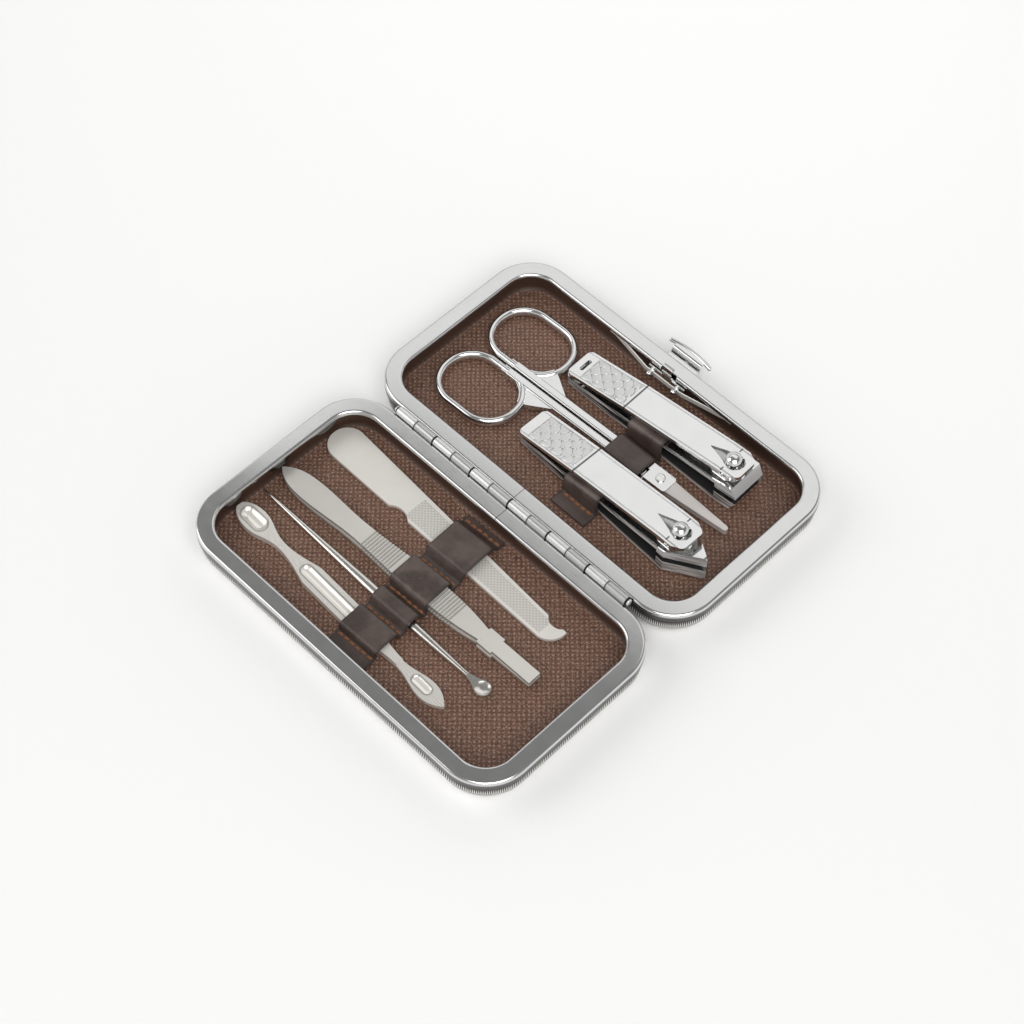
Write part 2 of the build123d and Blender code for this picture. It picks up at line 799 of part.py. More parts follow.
def edge_bevel(length, cut, angle):
    """What is ground off a straight jaw's front to leave its cutting edge."""
    reach = 2 * jaw_front_width
    return Pos(length, 0, cut) * Rot(0, angle, 0) * Pos(reach, 0, 0) * Box(2 * reach, 2 * reach, 2 * reach)


def rounded_side(points, radius):
    """A side view whose foremost, highest or lowest corner is the first point, rounded off."""
    face = make_face(Polyline(*points, close=True))
    corner = face.vertices().sort_by_distance(points[0])[0]
    return extruded_y(fillet(corner, radius), jaw_front_width)


def lower_jaw(length, pointed):
    """The flat jaw, its front bent up to the cutting edge."""
    low = post_foot
    cut = low + (jaw_height(length) - low) / 2 - jaw_cut_gap / 2
    jaw = extrude(Pos(0, 0, low) * jaw_plan(length, pointed), jaw_sheet)
    jaw += nose_wall(length, pointed, low, cut)
    jaw &= rounded_side([(length, low), (length, cut), (-overcut, cut), (-overcut, low)], nose_rounding)
    if not pointed:
        jaw -= edge_bevel(length, cut, bevel_angle)
    jaw -= Pos(post_x, 0, 0) * Cylinder(post_radius + post_fit, through)
    return jaw - Pos(jaw_rivet_x, 0, 0) * Cylinder(clipper_rivet_radius + jaw_rivet_play, through)


def upper_jaw(length, pointed):
    """The sprung jaw: it rises from the rear and its front is bent down to the cutting edge."""
    low = post_foot + jaw_sheet + jaw_gap
    top = jaw_height(length)
    cut = post_foot + (top - post_foot) / 2 + jaw_cut_gap / 2
    rear = [(-overcut, low + jaw_sheet), (-overcut, low), (jaw_land, low)]
    front = [(length, top - jaw_sheet), (length, top), (jaw_land, low + jaw_sheet)]
    side = make_face(Polyline(*rear, *front, close=True))
    jaw = extrude(jaw_plan(length, pointed), through) & extruded_y(side, jaw_front_width)
    jaw += nose_wall(length, pointed, cut, top)
    outside = [*front[1:], (-overcut, low + jaw_sheet), (-overcut, 0), (length, 0)]
    jaw &= rounded_side(outside, nose_rounding)
    if not pointed:
        jaw -= edge_bevel(length, cut, -bevel_angle)
    jaw -= Pos(post_x, 0, 0) * Cylinder(post_radius + post_hole_play, through)
    return jaw - Pos(jaw_rivet_x, 0, 0) * Cylinder(clipper_rivet_radius + pin_fit, through)


def clipper_post():
    """The post: a foot under the lower jaw and a cross-bored head in the lever's window."""
    top = lever_pin_height + lever_sheet / 2 + post_head_rise
    neck = jaw_height(post_x) + post_head_gap
    foot = post_foot - 2 * seat_gap
    post = Pos(0, 0, post_foot / 2) * Cylinder(post_foot_radius, foot)
    post += Pos(0, 0, top / 2) * Cylinder(post_radius, top - 2 * seat_gap)
    head = Pos(0, 0, (neck + top) / 2) * Cylinder(post_head_radius, top - neck)
    post += fillet(head.edges().group_by(Axis.Z)[-1], post_head_rounding)
    bore = Pos(0, 0, lever_pin_z) * Rot(90, 0, 0) * Cylinder(lever_pin_radius + post_fit, through)
    return Pos(post_x, 0, 0) * (post - bore)


def lever_line(x):
    """Height of the lever's middle line."""
    if x > lever_kink_x:
        slope = (lever_pin_height - lever_kink_height) / (post_x - lever_kink_x)
        return lever_pin_height - (post_x - x) * slope
    slope = (lever_kink_height - lever_rear_height) / (lever_kink_x - lever_rear_x)
    return lever_kink_height - (lever_kink_x - x) * slope


def lever_hood(plan):
    """The thick front of the lever, which holds the cross pin on both sides of the post."""
    rear, front = post_x - hood_length, post_x + lever_front
    low = lever_pin_z - hood_depth
    profile = [
        (rear, lever_line(rear)),
        (rear + hood_slope, low),
        (post_x + hood_front, low),
        (front, lever_pin_z + hood_lift),
        (front, lever_pin_height),
    ]
    return extrude(plan, through) & extruded_y(make_face(Polyline(*profile, close=True)), through)


def lever_plan(width):
    """The lever's plan, with round rear corners and a drawn-in front."""
    half, front = width / 2, post_x + lever_front
    taper, draw_in = lever_front_taper
    upper = [(lever_rear_x, half), (front - taper, half), (front, half - draw_in)]
    lower = [(x, -y) for x, y in reversed(upper)]
    plan = make_face(Polyline(*upper, *lower, close=True))
    plan = fillet(plan.vertices().group_by(Axis.X)[0], lever_corner)
    return fillet(plan.vertices().group_by(Axis.X)[-1], lever_corner)


def lever_window():
    """The window for the post's head, drawn out to a point towards the lever's rear."""
    length, breadth = 2 * (post_head_radius + window_play), 2 * (post_head_radius + window_side_play)
    half, rear = lever_tail_width / 2, post_x - lever_tail_end
    tail = [(post_x - lever_tail, 0), (rear, half), (post_x, half), (post_x, -half), (rear, -half)]
    opening = Pos(post_x + window_shift, 0) * SlotOverall(length, breadth)
    return extrude(opening, through) + extrude(make_face(Polyline(*tail, close=True)), through)


def clipper_lever(width, slotted):
    """The lever, folded over the jaws: a bent plate with a window for the post's head."""
    bend_x = post_x - lever_bend_x
    rear = [(-overcut, lever_line(-overcut)), (lever_kink_x, lever_kink_height)]
    front = [(bend_x, lever_line(bend_x)), (post_x + lever_front + overcut, lever_pin_height)]
    side = extruded_y(band([*rear, *front], lever_sheet, lever_bend), through)
    plan = lever_plan(width)
    lever = (extrude(plan, through) & side) + lever_hood(plan) - lever_window()
    if slotted:
        slot = SlotOverall(lever_slot_length, lever_slot_width)
        lever -= extrude(Pos(lever_rear_x + lever_slot_x, 0) * Rot(0, 0, 90) * slot, through)
    bore = Rot(90, 0, 0) * Cylinder(lever_pin_radius + pin_fit, through)
    return lever - Pos(post_x, 0, lever_pin_z) * bore


def clipper_lever_pin(width):
    """The cross pin that joins the lever to the post."""
    pin = Rot(90, 0, 0) * Cylinder(lever_pin_radius, width - 2 * lever_pin_inset)
    return Pos(post_x, 0, lever_pin_z) * pin


def clipper_rivet():
    """The rivet through the jaws' rear ends: tight in the upper jaw, loose in the lower one."""
    under, top = post_foot - jaw_gap, jaw_height(0) + seat_gap / 2
    rivet = Pos(0, 0, (under + top) / 2) * Cylinder(clipper_rivet_radius, top - under)
    for z in (under - clipper_rivet_head / 2, top + clipper_rivet_head / 2):
        rivet += Pos(0, 0, z) * Cylinder(clipper_rivet_head_radius, clipper_rivet_head)
    return Pos(jaw_rivet_x, 0, 0) * rivet


def clipper(length, width, pointed):
    """All the pieces of one clipper."""
    return {
        "lower_jaw": lower_jaw(length, pointed),
        "upper_jaw": upper_jaw(length, pointed),
        "post": clipper_post(),
        "lever": clipper_lever(width, slotted=not pointed),
        "lever_pin": clipper_lever_pin(width),
        "rivet": clipper_rivet(),
    }


# Where each tool lies: its origin's place and its turn about Z
wall_x = cavity_inset - case_length / 2
tweezers_z = tool_z + tweezers_sheet + tweezers_rise
file_place = Pos(wall_x + file_wall_gap, lid_y + file_place_y, tool_z) * Rot(0, 0, file_turn)
tweezers_at = Pos(wall_x + tweezers_wall_gap, lid_y + tweezers_place_y, tweezers_z)
tweezers_place = tweezers_at * Rot(0, 0, tweezers_turn)
ear_pick_at = Pos(wall_x + ear_pick_wall_gap, lid_y + ear_pick_place_y, tool_z)
ear_pick_place = ear_pick_at * Rot(0, 0, ear_pick_turn)
pusher_place = Pos(wall_x + pusher_wall_gap, lid_y + pusher_place_y, tool_z) * Rot(0, 0, pusher_turn)
scissors_place = Pos(ring_middle_x + ring_reach, scissors_place_y, tool_z) * Rot(0, 0, scissors_turn)
wide_clipper_place = Pos(*wide_clipper_at, tool_z) * Rot(0, 0, wide_clipper_turn)
point_clipper_place = Pos(*point_clipper_at, tool_z) * Rot(0, 0, point_clipper_turn)

# Loops: the middle, half width and lean of each, with the tool's height at the strap's two edges
lid_loops = [
    (-16.95, 3.25, 0.25, (2.1, 2.1)),
    (-7.3, 1.0, 1.6, (2.3, 2.1)),
    (2.1, 3.75, 0.25, (3.7, 3.8)),
    (17.2, 4.2, 2.2, (2.1, 2.1)),
]
base_loops = [
    (-10.35, 5.75, 0.2, (5.2, 6.6)),
    (2.25, 3.0, 0.25, (2.8, 2.8)),
    (14.5, 5.8, 0.2, (5.75, 7.15)),
]

pieces = {}

base_turn = Rot(0, 0, 180)
for name, solid in tray(rolled_frame() - latch_slot() - lip_cut(), [latch_notch()]).items():
    pieces["base_" + name] = base_turn * solid
lid_frame = rolled_frame()
for tab in clamp_tabs():
    lid_frame += tab
for name, solid in tray(lid_frame).items():
    pieces["lid_" + name] = Pos(0, lid_y, 0) * solid

pieces["base_hinge_leaf"] = base_turn * hinge_leaf()
pieces["lid_hinge_leaf"] = Pos(0, lid_y, 0) * hinge_leaf()
pieces["hinge_pin"] = hinge_pin()
pieces["latch_tab"] = latch_tab()
pieces["latch_rivets"] = latch_rivets()
pieces["latch_spring"] = latch_spring()

lid_strap_place = Pos(lid_strap_x, lid_y, 0) * Rot(0, 0, lid_strap_skew)
base_strap_place = Pos(base_strap_x, 0, 0)
pieces["lid_strap"] = lid_strap_place * strap(lid_loops, lid_strap_width, lid_strap_tails)
pieces["base_strap"] = base_strap_place * strap(base_loops, base_strap_width, base_strap_tails)

upper_leaf = tweezers_leaf()
pieces["nail_file"] = file_place * nail_file()
pieces["tweezers_upper_leaf"] = tweezers_place * upper_leaf
pieces["tweezers_lower_leaf"] = tweezers_place * mirror(upper_leaf, Plane.XY)
pieces["ear_pick"] = ear_pick_place * ear_pick()
pieces["cuticle_pusher"] = pusher_place * cuticle_pusher()
pieces["scissors_lower_half"] = scissors_place * scissors_half(upper=False)
pieces["scissors_upper_half"] = scissors_place * scissors_half(upper=True)
pieces["scissors_screw"] = scissors_place * scissors_screw()
for name, solid in clipper(wide_clipper_length, wide_lever_width, pointed=False).items():
    pieces["wide_clipper_" + name] = wide_clipper_place * solid
for name, solid in clipper(point_clipper_length, point_lever_width, pointed=True).items():
    pieces["point_clipper_" + name] = point_clipper_place * solid

for name, solid in pieces.items():
    export_step(solid, f"parts/{name}.step")
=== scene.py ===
"""Finishes, leather loops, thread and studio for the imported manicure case."""

import math

import bmesh
import bpy
from mathutils import Matrix, Vector


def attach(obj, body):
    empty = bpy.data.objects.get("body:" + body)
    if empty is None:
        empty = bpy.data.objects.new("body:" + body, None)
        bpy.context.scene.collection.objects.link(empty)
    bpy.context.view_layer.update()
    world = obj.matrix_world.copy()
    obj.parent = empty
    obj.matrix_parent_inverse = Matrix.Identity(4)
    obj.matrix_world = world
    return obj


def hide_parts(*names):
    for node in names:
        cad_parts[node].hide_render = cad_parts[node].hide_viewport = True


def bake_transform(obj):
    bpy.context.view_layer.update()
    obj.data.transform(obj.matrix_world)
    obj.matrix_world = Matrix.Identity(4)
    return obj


bl_info = {
    "name": "Manicure Case Finisher",
    "version": (1, 0, 0),
    "blender": (4, 5, 0),
    "location": "3D View > Sidebar > Manicure Case",
    "description": "Dresses a framed manicure case in steel, leatherette, leather and thread",
    "category": "Object",
}

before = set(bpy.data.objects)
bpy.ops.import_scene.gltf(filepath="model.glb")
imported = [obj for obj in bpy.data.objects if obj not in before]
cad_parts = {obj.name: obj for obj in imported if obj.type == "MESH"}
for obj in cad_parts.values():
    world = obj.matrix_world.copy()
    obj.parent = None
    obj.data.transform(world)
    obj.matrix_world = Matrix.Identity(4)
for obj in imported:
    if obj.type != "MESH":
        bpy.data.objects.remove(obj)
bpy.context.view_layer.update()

MM = 0.001

# Where the lid's tray lies, and the heights of the lining and the tools on it, in millimetres
LID_Y = -67.7
FLOOR_Z = 3.12
TOOL_Z = 3.42

# Each tool's place in the trays: x, y and turn, in millimetres and degrees
FILE = (-53.2, LID_Y + 13.9, -0.6)
TWEEZERS = (-53.6, LID_Y + 1.0, 1.1)
EAR_PICK = (-52.8, LID_Y - 6.6, -0.8)
PUSHER = (-53.0, LID_Y - 14.8, -2.6)
SCISSORS = (20.5, 2.6, 1.9)
WIDE_CLIPPER = (-21.5, 13.7, 1.45)
POINT_CLIPPER = (-16.5, -9.7, -1.4)
CASE = (0.0, 0.0, 0.0)

# The frames: the heights between which painted shade darkens the skirt, and the pitch of the
# hinge's knuckles
SKIRT_SHADE_HEIGHTS = (10.3, 9.3)
KNUCKLE_PITCH = 7.1

# The latch's leaf spring: whole length, flat middle and ears, and the number of cuts along a leg
SPRING_SPAN, SPRING_FLAT, SPRING_EAR = 45.0, 13.0, 1.9
SPRING_CUTS = 32

# The cover: top of its band of painted shade, height of the band's teeth, and its rows of dashes
BAND_TOP, TOOTH_HEIGHT = 6.6, 3.2
SIDE_ROWS, FACE_ROWS = 1.6, 2.2

# The nail file: length, width at heel and toe, and where its teeth start and end
FILE_LENGTH, FILE_HEEL, FILE_TOE = 88.6, 10.8, 6.0
TEETH_START, TEETH_END = 33.0, 84.0

# The tweezers: their ribs, and where they turn darker towards the rear and lighter towards the tips
RIB_RUNS = ((33.5, 43.95), (58.5, 66.1))
RIB_PITCH = 0.95
REAR_DARKENING = (36.0, 8.0)
BRIGHT_TIPS = (64.0, 88.0)

# Start, end and half width of the pusher's hollows
PUSHER_HOLLOWS = ((4.0, 8.6, 2.22), (28.0, 52.0, 1.74), (71.5, 75.5, 1.39))

# Where the scissors' shanks end and their ground blades start
BLADE_START = (3.4, 3.8)

# Each clipper: its place, half its lever's width and where its thumb pad starts
CLIPPERS = (
    ("wide", WIDE_CLIPPER, 5.0, 4.4),
    ("point", POINT_CLIPPER, 5.2, 3.2),
)

# The thumb pads: end, margin, height over the lever's middle line, and cells along and across
PAD_END, PAD_MARGIN, PAD_LIFT = 20.4, 0.8, 0.57
PAD_CELLS = (130, 70)

# The levers: two points, along and up, of the line that rises to the fold; fold; hood's seam
LEVER_REAR, LEVER_FRONT = (0.6, 5.0), (22.3, 8.4)
LEVER_FOLD = 21.6
HOOD_SEAM, HOOD_CHEEK = 55.2, 4.0

# The crown on a clipper's post: its place, radius, foot and rise, and its turned outline
CROWN_X, CROWN_RADIUS, CROWN_FOOT, CROWN_RISE = 56.0, 2.15, 13.78, 1.0
CROWN_OUTLINE = (
    (1.0, 0.0), (0.97, 0.2), (0.88, 0.36), (0.84, 0.34),
    (0.78, 0.5), (0.6, 0.74), (0.38, 0.91), (0.18, 0.98),
)

# The loops of a strap: middle, half width and lean, and their tool's height at the strap's edges
LID_LOOPS = (
    (-16.95, 3.25, 0.25, (2.1, 2.1)),
    (-7.3, 1.0, 1.6, (2.3, 2.1)),
    (2.1, 3.75, 0.25, (3.7, 3.8)),
    (17.2, 4.2, 2.2, (2.1, 2.1)),
)
BASE_LOOPS = (
    (-10.35, 5.75, 0.2, (5.2, 6.6)),
    (2.25, 3.0, 0.25, (2.8, 2.8)),
    (14.5, 5.8, 0.2, (5.75, 7.15)),
)
LOOP_PLAY, STRAP_GAP = 0.3, 0.06

# Each strap: its loops, its two ends, its place and the height at which painted sheen lightens its
# crowns
STRAPS = (
    ("lid", LID_LOOPS, -26.5, 27.0, (-0.95, LID_Y, 1.84), 6.5),
    ("base", BASE_LOOPS, -21.9, 24.6, (9.5, 0.0, 0.0), 8.5),
)

# The paper on the table: radii of its rings and its height
FLOOR_RINGS = (300.0, 800.0, 1300.0)
FLOOR_LEVEL = -0.05

# The room: slopes at which its white wall ends and its ceiling starts, and the ceiling's grey
WALL_END, CEILING_START, CEILING_GREY = 0.25, 0.55, 0.30

# Each soft lamp: place and size in metres, how bright its face looks, and its aim
PANELS = (
    ("panel_over_base", (-0.16, 0.245, 0.30), (0.46, 0.285), 0.72, None),
    ("panel_over_lid", (-0.32, 0.072, 0.30), (0.22, 0.06), 0.85, None),
    ("panel_key", (0.75, -0.55, 1.25), (1.2, 1.2), 3.35, (0.0, -0.03, 0.0)),
    ("panel_side", (-0.9, -0.75, 0.9), (1.0, 1.0), 1.7, (0.0, -0.03, 0.0)),
)

# The camera: place in metres, turn in radians, lens and sensor in millimetres
CAMERA_PLACE = (0.2350661, -0.2733027, 0.5148746)
CAMERA_TURN = (0.58352812, -0.0072484, 0.78558187)
CAMERA_LENS, CAMERA_SENSOR = 80.8825, 36.0


# Sizes and colours that a user would change

def length(name, description, value):
    """A size in metres, given here in millimetres."""
    return bpy.props.FloatProperty(
        name=name, description=description, default=value * MM, unit="LENGTH", precision=5
    )


def colour(name, description, value):
    """A colour given as the red, green and blue of a screen, 0 to 255."""
    linear = [((c / 255 + 0.055) / 1.055) ** 2.4 if c > 10 else c / 3294.6 for c in value]
    return bpy.props.FloatVectorProperty(
        name=name, description=description, default=linear, min=0.0, max=1.0, subtype="COLOR"
    )


class ManicureSizes(bpy.types.PropertyGroup):
    """Sizes of the soft pieces and of the surface patterns."""

    strap_thickness: length("Strap thickness", "Thickness of the leather loops", 0.8)
    lid_strap_width: length("Lid strap width", "Width of the strap in the lid tray", 13.3)
    base_strap_width: length("Base strap width", "Width of the strap in the base tray", 12.4)
    edge_rounding: length("Edge rounding", "Rounding of the straps' cut edges", 0.25)
    crown_bend: length("Crown bend", "Radius of a loop's shoulders", 1.2)
    foot_bend: length("Foot bend", "Radius of the bend where a loop meets the lining", 0.7)
    stitch_pitch: length("Stitch pitch", "Distance from one stitch to the next", 2.05)
    stitch_length: length("Stitch length", "Length of one stitch", 2.0)
    thread_radius: length("Thread radius", "Half the thickness of the sewing thread", 0.42)
    pip_pitch: length("Pip pitch", "Distance between the lining's raised pips", 1.25)
    tick_pitch: length("Tick pitch", "Distance between the dark ticks of the cover's weave", 0.75)
    scale_pitch: length("Scale pitch", "Distance between the rows of scales on the levers", 2.1)
    scale_width: length("Scale width", "Width of one scale on the levers", 3.6)
    scale_relief: length("Scale relief", "Height of a scale's free edge", 0.36)
    file_pitch: length("File pitch", "Distance between the file's cuts", 1.2)


class ManicureColours(bpy.types.PropertyGroup):
    """Colours of the finishes, as they look under plain light."""

    frame_steel: colour("Frame steel", "Satin steel of the two frames", (222, 222, 221))
    tool_steel: colour("Tool steel", "Satin steel of the flat tools", (233, 229, 222))
    bright_steel: colour("Bright steel", "Polished steel of clippers and scissors", (232, 232, 231))
    spring_steel: colour("Spring steel", "Leaf spring of the latch", (228, 226, 221))
    lining: colour("Lining", "Brown ground of the leatherette lining", (104, 75, 61))
    pip: colour("Pips", "Light pips of the leatherette lining", (158, 130, 114))
    leather: colour("Leather", "Dark leather of the loops", (80, 68, 63))
    # Painted sheen: a lighter leather colour laid on the loops' crowns
    leather_sheen: colour("Worn leather", "Rubbed leather on the loops' crowns", (98, 85, 79))
    thread: colour("Thread", "Sewing thread", (146, 98, 68))
    cover: colour("Cover", "White ground of the outer leatherette", (222, 220, 216))
    tick: colour("Ticks", "Dark ticks of the outer leatherette's weave", (58, 50, 47))
    board: colour("Board", "Stiffening board between cover and lining", (150, 138, 120))
    floor: colour("Floor", "Studio floor and backdrop", (252, 252, 251))


# Shader maths

class Tone:
    """A value that varies over a surface. Sums written on it add Math nodes to its material."""

    def __init__(self, paint, socket):
        self.paint, self.socket = paint, socket

    def math(self, operation, *terms):
        return self.paint.node("ShaderNodeMath", {"operation": operation}, terms)

    def __add__(self, other):
        return self.math("ADD", self, other)

    def __radd__(self, other):
        return self.math("ADD", other, self)

    def __sub__(self, other):
        return self.math("SUBTRACT", self, other)

    def __rsub__(self, other):
        return self.math("SUBTRACT", other, self)

    def __mul__(self, other):
        return self.math("MULTIPLY", self, other)

    def __rmul__(self, other):
        return self.math("MULTIPLY", other, self)

    def __truediv__(self, other):
        return self.math("DIVIDE", self, other)

    def __pow__(self, other):
        return self.math("POWER", self, other)

    def __abs__(self):
        return self.math("ABSOLUTE", self)

    def off_middle(self):
        """How far the fraction of this value is from a half."""
        return abs(self.math("FRACT", self) - 0.5)

    def whole(self):
        return self.math("FLOOR", self)

    def wave(self):
        """A sine of this value, from 0 to 1."""
        return self.math("SINE", self) * 0.5 + 0.5

    def larger(self, other):
        return self.math("MAXIMUM", self, other)

    def smaller(self, other):
        return self.math("MINIMUM", self, other)


class Paint:
    """A material under way: its shader, its coordinates in millimetres and a way to add nodes."""

    def __init__(self, name, **constants):
        self.material = bpy.data.materials.new(name)
        self.material.use_nodes = True
        self.tree = self.material.node_tree
        self.tree.nodes.clear()
        output = self.tree.nodes.new("ShaderNodeOutputMaterial")
        self.shader = self.tree.nodes.new("ShaderNodeBsdfPrincipled")
        self.tree.links.new(self.shader.outputs[0], output.inputs[0])
        for socket, value in constants.items():
            self.shader.inputs[socket.replace("_", " ")].default_value = value
        self.place = self.node("ShaderNodeTexCoord", out="Object")
        self.x, self.y, self.z = [axis * (1 / MM) for axis in self.axes(self.place)]
        self.facing = self.axes(self.node("ShaderNodeTexCoord", out="Normal"))

    def node(self, kind, settings=None, values=(), out=None):
        """Adds a node: its settings are set first, then its sockets by order or by name."""
        added = self.tree.nodes.new(kind)
        for key, value in (settings or {}).items():
            setattr(added, key, value)
        if isinstance(values, dict):
            filled = [(added.inputs[key], value) for key, value in values.items()]
        else:
            filled = zip([s for s in added.inputs if s.enabled], values)
        for socket, value in filled:
            if isinstance(value, Tone):
                self.tree.links.new(value.socket, socket)
            else:
                socket.default_value = value
        result = added.outputs[out] if out else next(s for s in added.outputs if s.enabled)
        return Tone(self, result)

    def local(self, place):
        """Coordinates along and across a tool that lies at a place and turn in the tray."""
        x0, y0, turn = place
        cosine, sine = math.cos(math.radians(turn)), math.sin(math.radians(turn))
        dx, dy = self.x - x0, self.y - y0
        return dx * cosine + dy * sine, dy * cosine - dx * sine

    def axes(self, vector):
        return [self.node("ShaderNodeSeparateXYZ", values=[vector], out=axis) for axis in "XYZ"]

    def noise(self, place, scale, detail, roughness=0.5):
        """Uneven patches over a place, or over a row of three coordinates."""
        if isinstance(place, tuple):
            place = self.node("ShaderNodeCombineXYZ", values=place)
        sockets = {"Vector": place, "Scale": scale, "Detail": detail, "Roughness": roughness}
        return self.node("ShaderNodeTexNoise", values=sockets, out="Fac")

    def clouds(self, scale, roughness=0.6):
        """Soft uneven patches."""
        return self.noise(self.place, scale, 3.0, roughness)

    def brushing(self, u, v, along, across, detail=3.0):
        """Fine lines that run along u and change fast across it."""
        return self.noise((u * along, v * across, self.z * across), 1.0, detail, 0.6)

    def grains(self, scale):
        """Rounded cells, like pores or pebbled leather."""
        sockets = {"Vector": self.place, "Scale": scale}
        return self.node("ShaderNodeTexVoronoi", values=sockets, out="Distance")

    def step(self, value, low, high):
        """0 below low, 1 above high and a soft rise between them."""
        sockets = {"Value": value, "From Min": low, "From Max": high}
        return self.node("ShaderNodeMapRange", {"interpolation_type": "SMOOTHSTEP"}, sockets)

    def mix(self, factor, first, second):
        """From the first colour at 0 to the second at 1."""
        first, second = [c if isinstance(c, Tone) else (*c[:3], 1.0) for c in (first, second)]
        return self.node("ShaderNodeMix", {"data_type": "RGBA"}, [factor, first, second])

    def tones(self, factor, tint, first, second):
        """A mix of two strengths of one colour."""
        return self.mix(factor, shaded(tint, first), shaded(tint, second))

    def finish(self, shade, rough, height=None, depth_mm=0.0, metallic=None):
        """Links what varies to the shader and gives back the material."""
        varying = {"Base Color": shade, "Roughness": rough, "Metallic": metallic}
        if height:
            relief = {"Height": height, "Distance": depth_mm * MM}
            varying["Normal"] = self.node("ShaderNodeBump", values=relief)
        for name, tone in varying.items():
            if tone:
                self.tree.links.new(tone.socket, self.shader.inputs[name])
        return self.material


def shaded(tint, share):
    """A colour made darker or lighter by a share."""
    return tuple(min(1.0, c * share) for c in tint)


# Finishes

def brushed_steel(name, tint, place=CASE, roughness=0.3, metallic=1.0):
    """Satin steel with fine brushing, faint mottling and a few scratches."""
    paint = Paint(name, Metallic=metallic)
    u, v = paint.local(place)
    lines = paint.brushing(u, v, 0.05, 6.0)
    cloud = paint.clouds(260.0, 0.55)
    scratch = paint.noise((u * 0.9 + v * 0.35, v * 11.0 - u * 0.6, paint.z), 0.9, 1.0)
    marks = paint.step(scratch, 0.68, 0.74)
    shade = paint.tones(cloud * 0.65 + lines * 0.35, tint, 0.88, 1.12)
    rough = roughness + (lines - 0.5) * 0.14 + (cloud - 0.5) * 0.12 + marks * 0.06
    height = lines + cloud * 0.8 - marks * 0.6
    return paint.finish(shade, rough, height, 0.003)


def polished_steel(name, tint, place=CASE, roughness=0.1):
    """Bright plated steel: soft clouding, fine wiping marks and tiny pits."""
    paint = Paint(name, Metallic=1.0)
    u, v = paint.local(place)
    cloud = paint.clouds(160.0)
    wiped = paint.brushing(u, v, 0.3, 7.0, 2.0)
    pits = paint.step(paint.noise(paint.place, 2300.0, 1.0), 0.70, 0.76)
    shade = paint.tones(cloud + pits * 0.3, tint, 1.02, 0.93)
    rough = roughness + (wiped - 0.4) * 0.09 + (cloud - 0.5) * 0.06 + pits * 0.1
    height = cloud * 3.0 + wiped * 0.35 - pits * 0.4
    return paint.finish(shade, rough, height, 0.004)


def jaw_steel(name, tint, place, inside):
    """A clipper jaw: bright plating, pale ground edges streaked with painted shade, and painted
    shade on the faces inside the jaws.
    """
    paint = Paint(name)
    u, v = paint.local(place)
    cloud = paint.clouds(160.0)
    wiped = paint.brushing(u, v, 0.4, 6.0, 2.0)
    upward = paint.facing[2]
    ground = paint.step(abs(upward), 0.75, 0.35)
    # Painted shade on the faces inside the gap between the jaws
    painted_gap_shade = paint.step(upward * inside, 0.3, 0.7)
    # Painted shade in streaks on the ground walls that do not face +x
    streak = paint.noise((u * 0.07, v * 0.25, paint.z * 1.5), 1.0, 1.0)
    painted_streak_shade = paint.step(streak, 0.38, 0.6) * paint.step(paint.facing[0], 0.8, 0.3)
    plated = paint.tones(cloud, tint, 1.04, 0.9)
    edged = paint.mix(ground * painted_streak_shade * 0.85, plated, shaded(tint, 0.1))
    shade = paint.mix(painted_gap_shade * 0.9, edged, shaded(tint, 0.05))
    rough = 0.1 + ground * 0.12 + (wiped - 0.4) * 0.09 + painted_gap_shade * 0.1
    metallic = 1 - ground * 0.6 - painted_gap_shade * 0.2
    height = cloud * 3.0 + wiped * 0.5
    return paint.finish(shade, rough, height, 0.004, metallic)


def scissors_steel(tint):
    """The scissors' bright rings and shanks, and the warmer satin of their ground blades."""
    paint = Paint("scissors_bright_steel")
    u, v = paint.local(SCISSORS)
    cloud = paint.clouds(160.0)
    lines = paint.brushing(u, v, 0.1, 5.0)
    blade = paint.step(u, *BLADE_START)
    plated = paint.tones(cloud, tint, 1.02, 0.9)
    warm = (tint[0] * 0.98, tint[1] * 0.92, tint[2] * 0.88)
    satin = paint.mix(lines * 0.7 + cloud * 0.3, warm, shaded(warm, 0.72))
    shade = paint.mix(blade, plated, satin)
    rough = 0.13 + blade * 0.2 + (lines - 0.5) * 0.12
    height = cloud * 2.0 + lines * (0.3 + blade)
    return paint.finish(shade, rough, height, 0.004, metallic=1 - blade * 0.6)


def hinge_steel(name, tint):
    """The hinge's satin steel, with painted shade in the slots between its knuckles."""
    paint = Paint(name, Metallic=0.6)
    slot_and_shade = paint.step((paint.x / KNUCKLE_PITCH).off_middle(), 0.44, 0.475)
    lines = paint.brushing(paint.x, paint.y, 0.1, 5.0)
    cloud = paint.clouds(260.0, 0.55)
    plain = paint.tones(cloud * 0.6 + lines * 0.4, tint, 0.85, 1.12)
    every_other = (paint.x / (2 * KNUCKLE_PITCH)).off_middle() + 0.5
    # Painted shade in the slots between the knuckles, every other slot half as dark
    shade = paint.mix(slot_and_shade * every_other, plain, shaded(tint, 0.06))
    rough = 0.22 + (lines - 0.5) * 0.12 + slot_and_shade * 0.3
    height = lines + cloud - slot_and_shade * 3.0
    return paint.finish(shade, rough, height, 0.003)


def embossed_steel(name, tint, place):
    """The pale satin of a lever's thumb pad, with painted shade where its scales step down."""
    paint = Paint(name, Metallic=0.55)
    u, v = paint.local(place)
    cloud = paint.clouds(420.0)
    wiped = paint.noise((u * 0.8, v * 5.0, paint.z), 1.0, 2.0, 0.6)
    # Painted shade on the leaning faces where the scales step down
    painted_riser_shade = paint.step(paint.facing[2], 0.96, 0.72)
    plain = paint.tones(cloud * 0.6 + wiped * 0.4, tint, 1.05, 0.84)
    shade = paint.mix(painted_riser_shade * 0.7, plain, shaded(tint, 0.25))
    rough = 0.3 + (cloud - 0.5) * 0.14 + (wiped - 0.5) * 0.08
    return paint.finish(shade, rough, cloud + wiped * 0.4, 0.006)


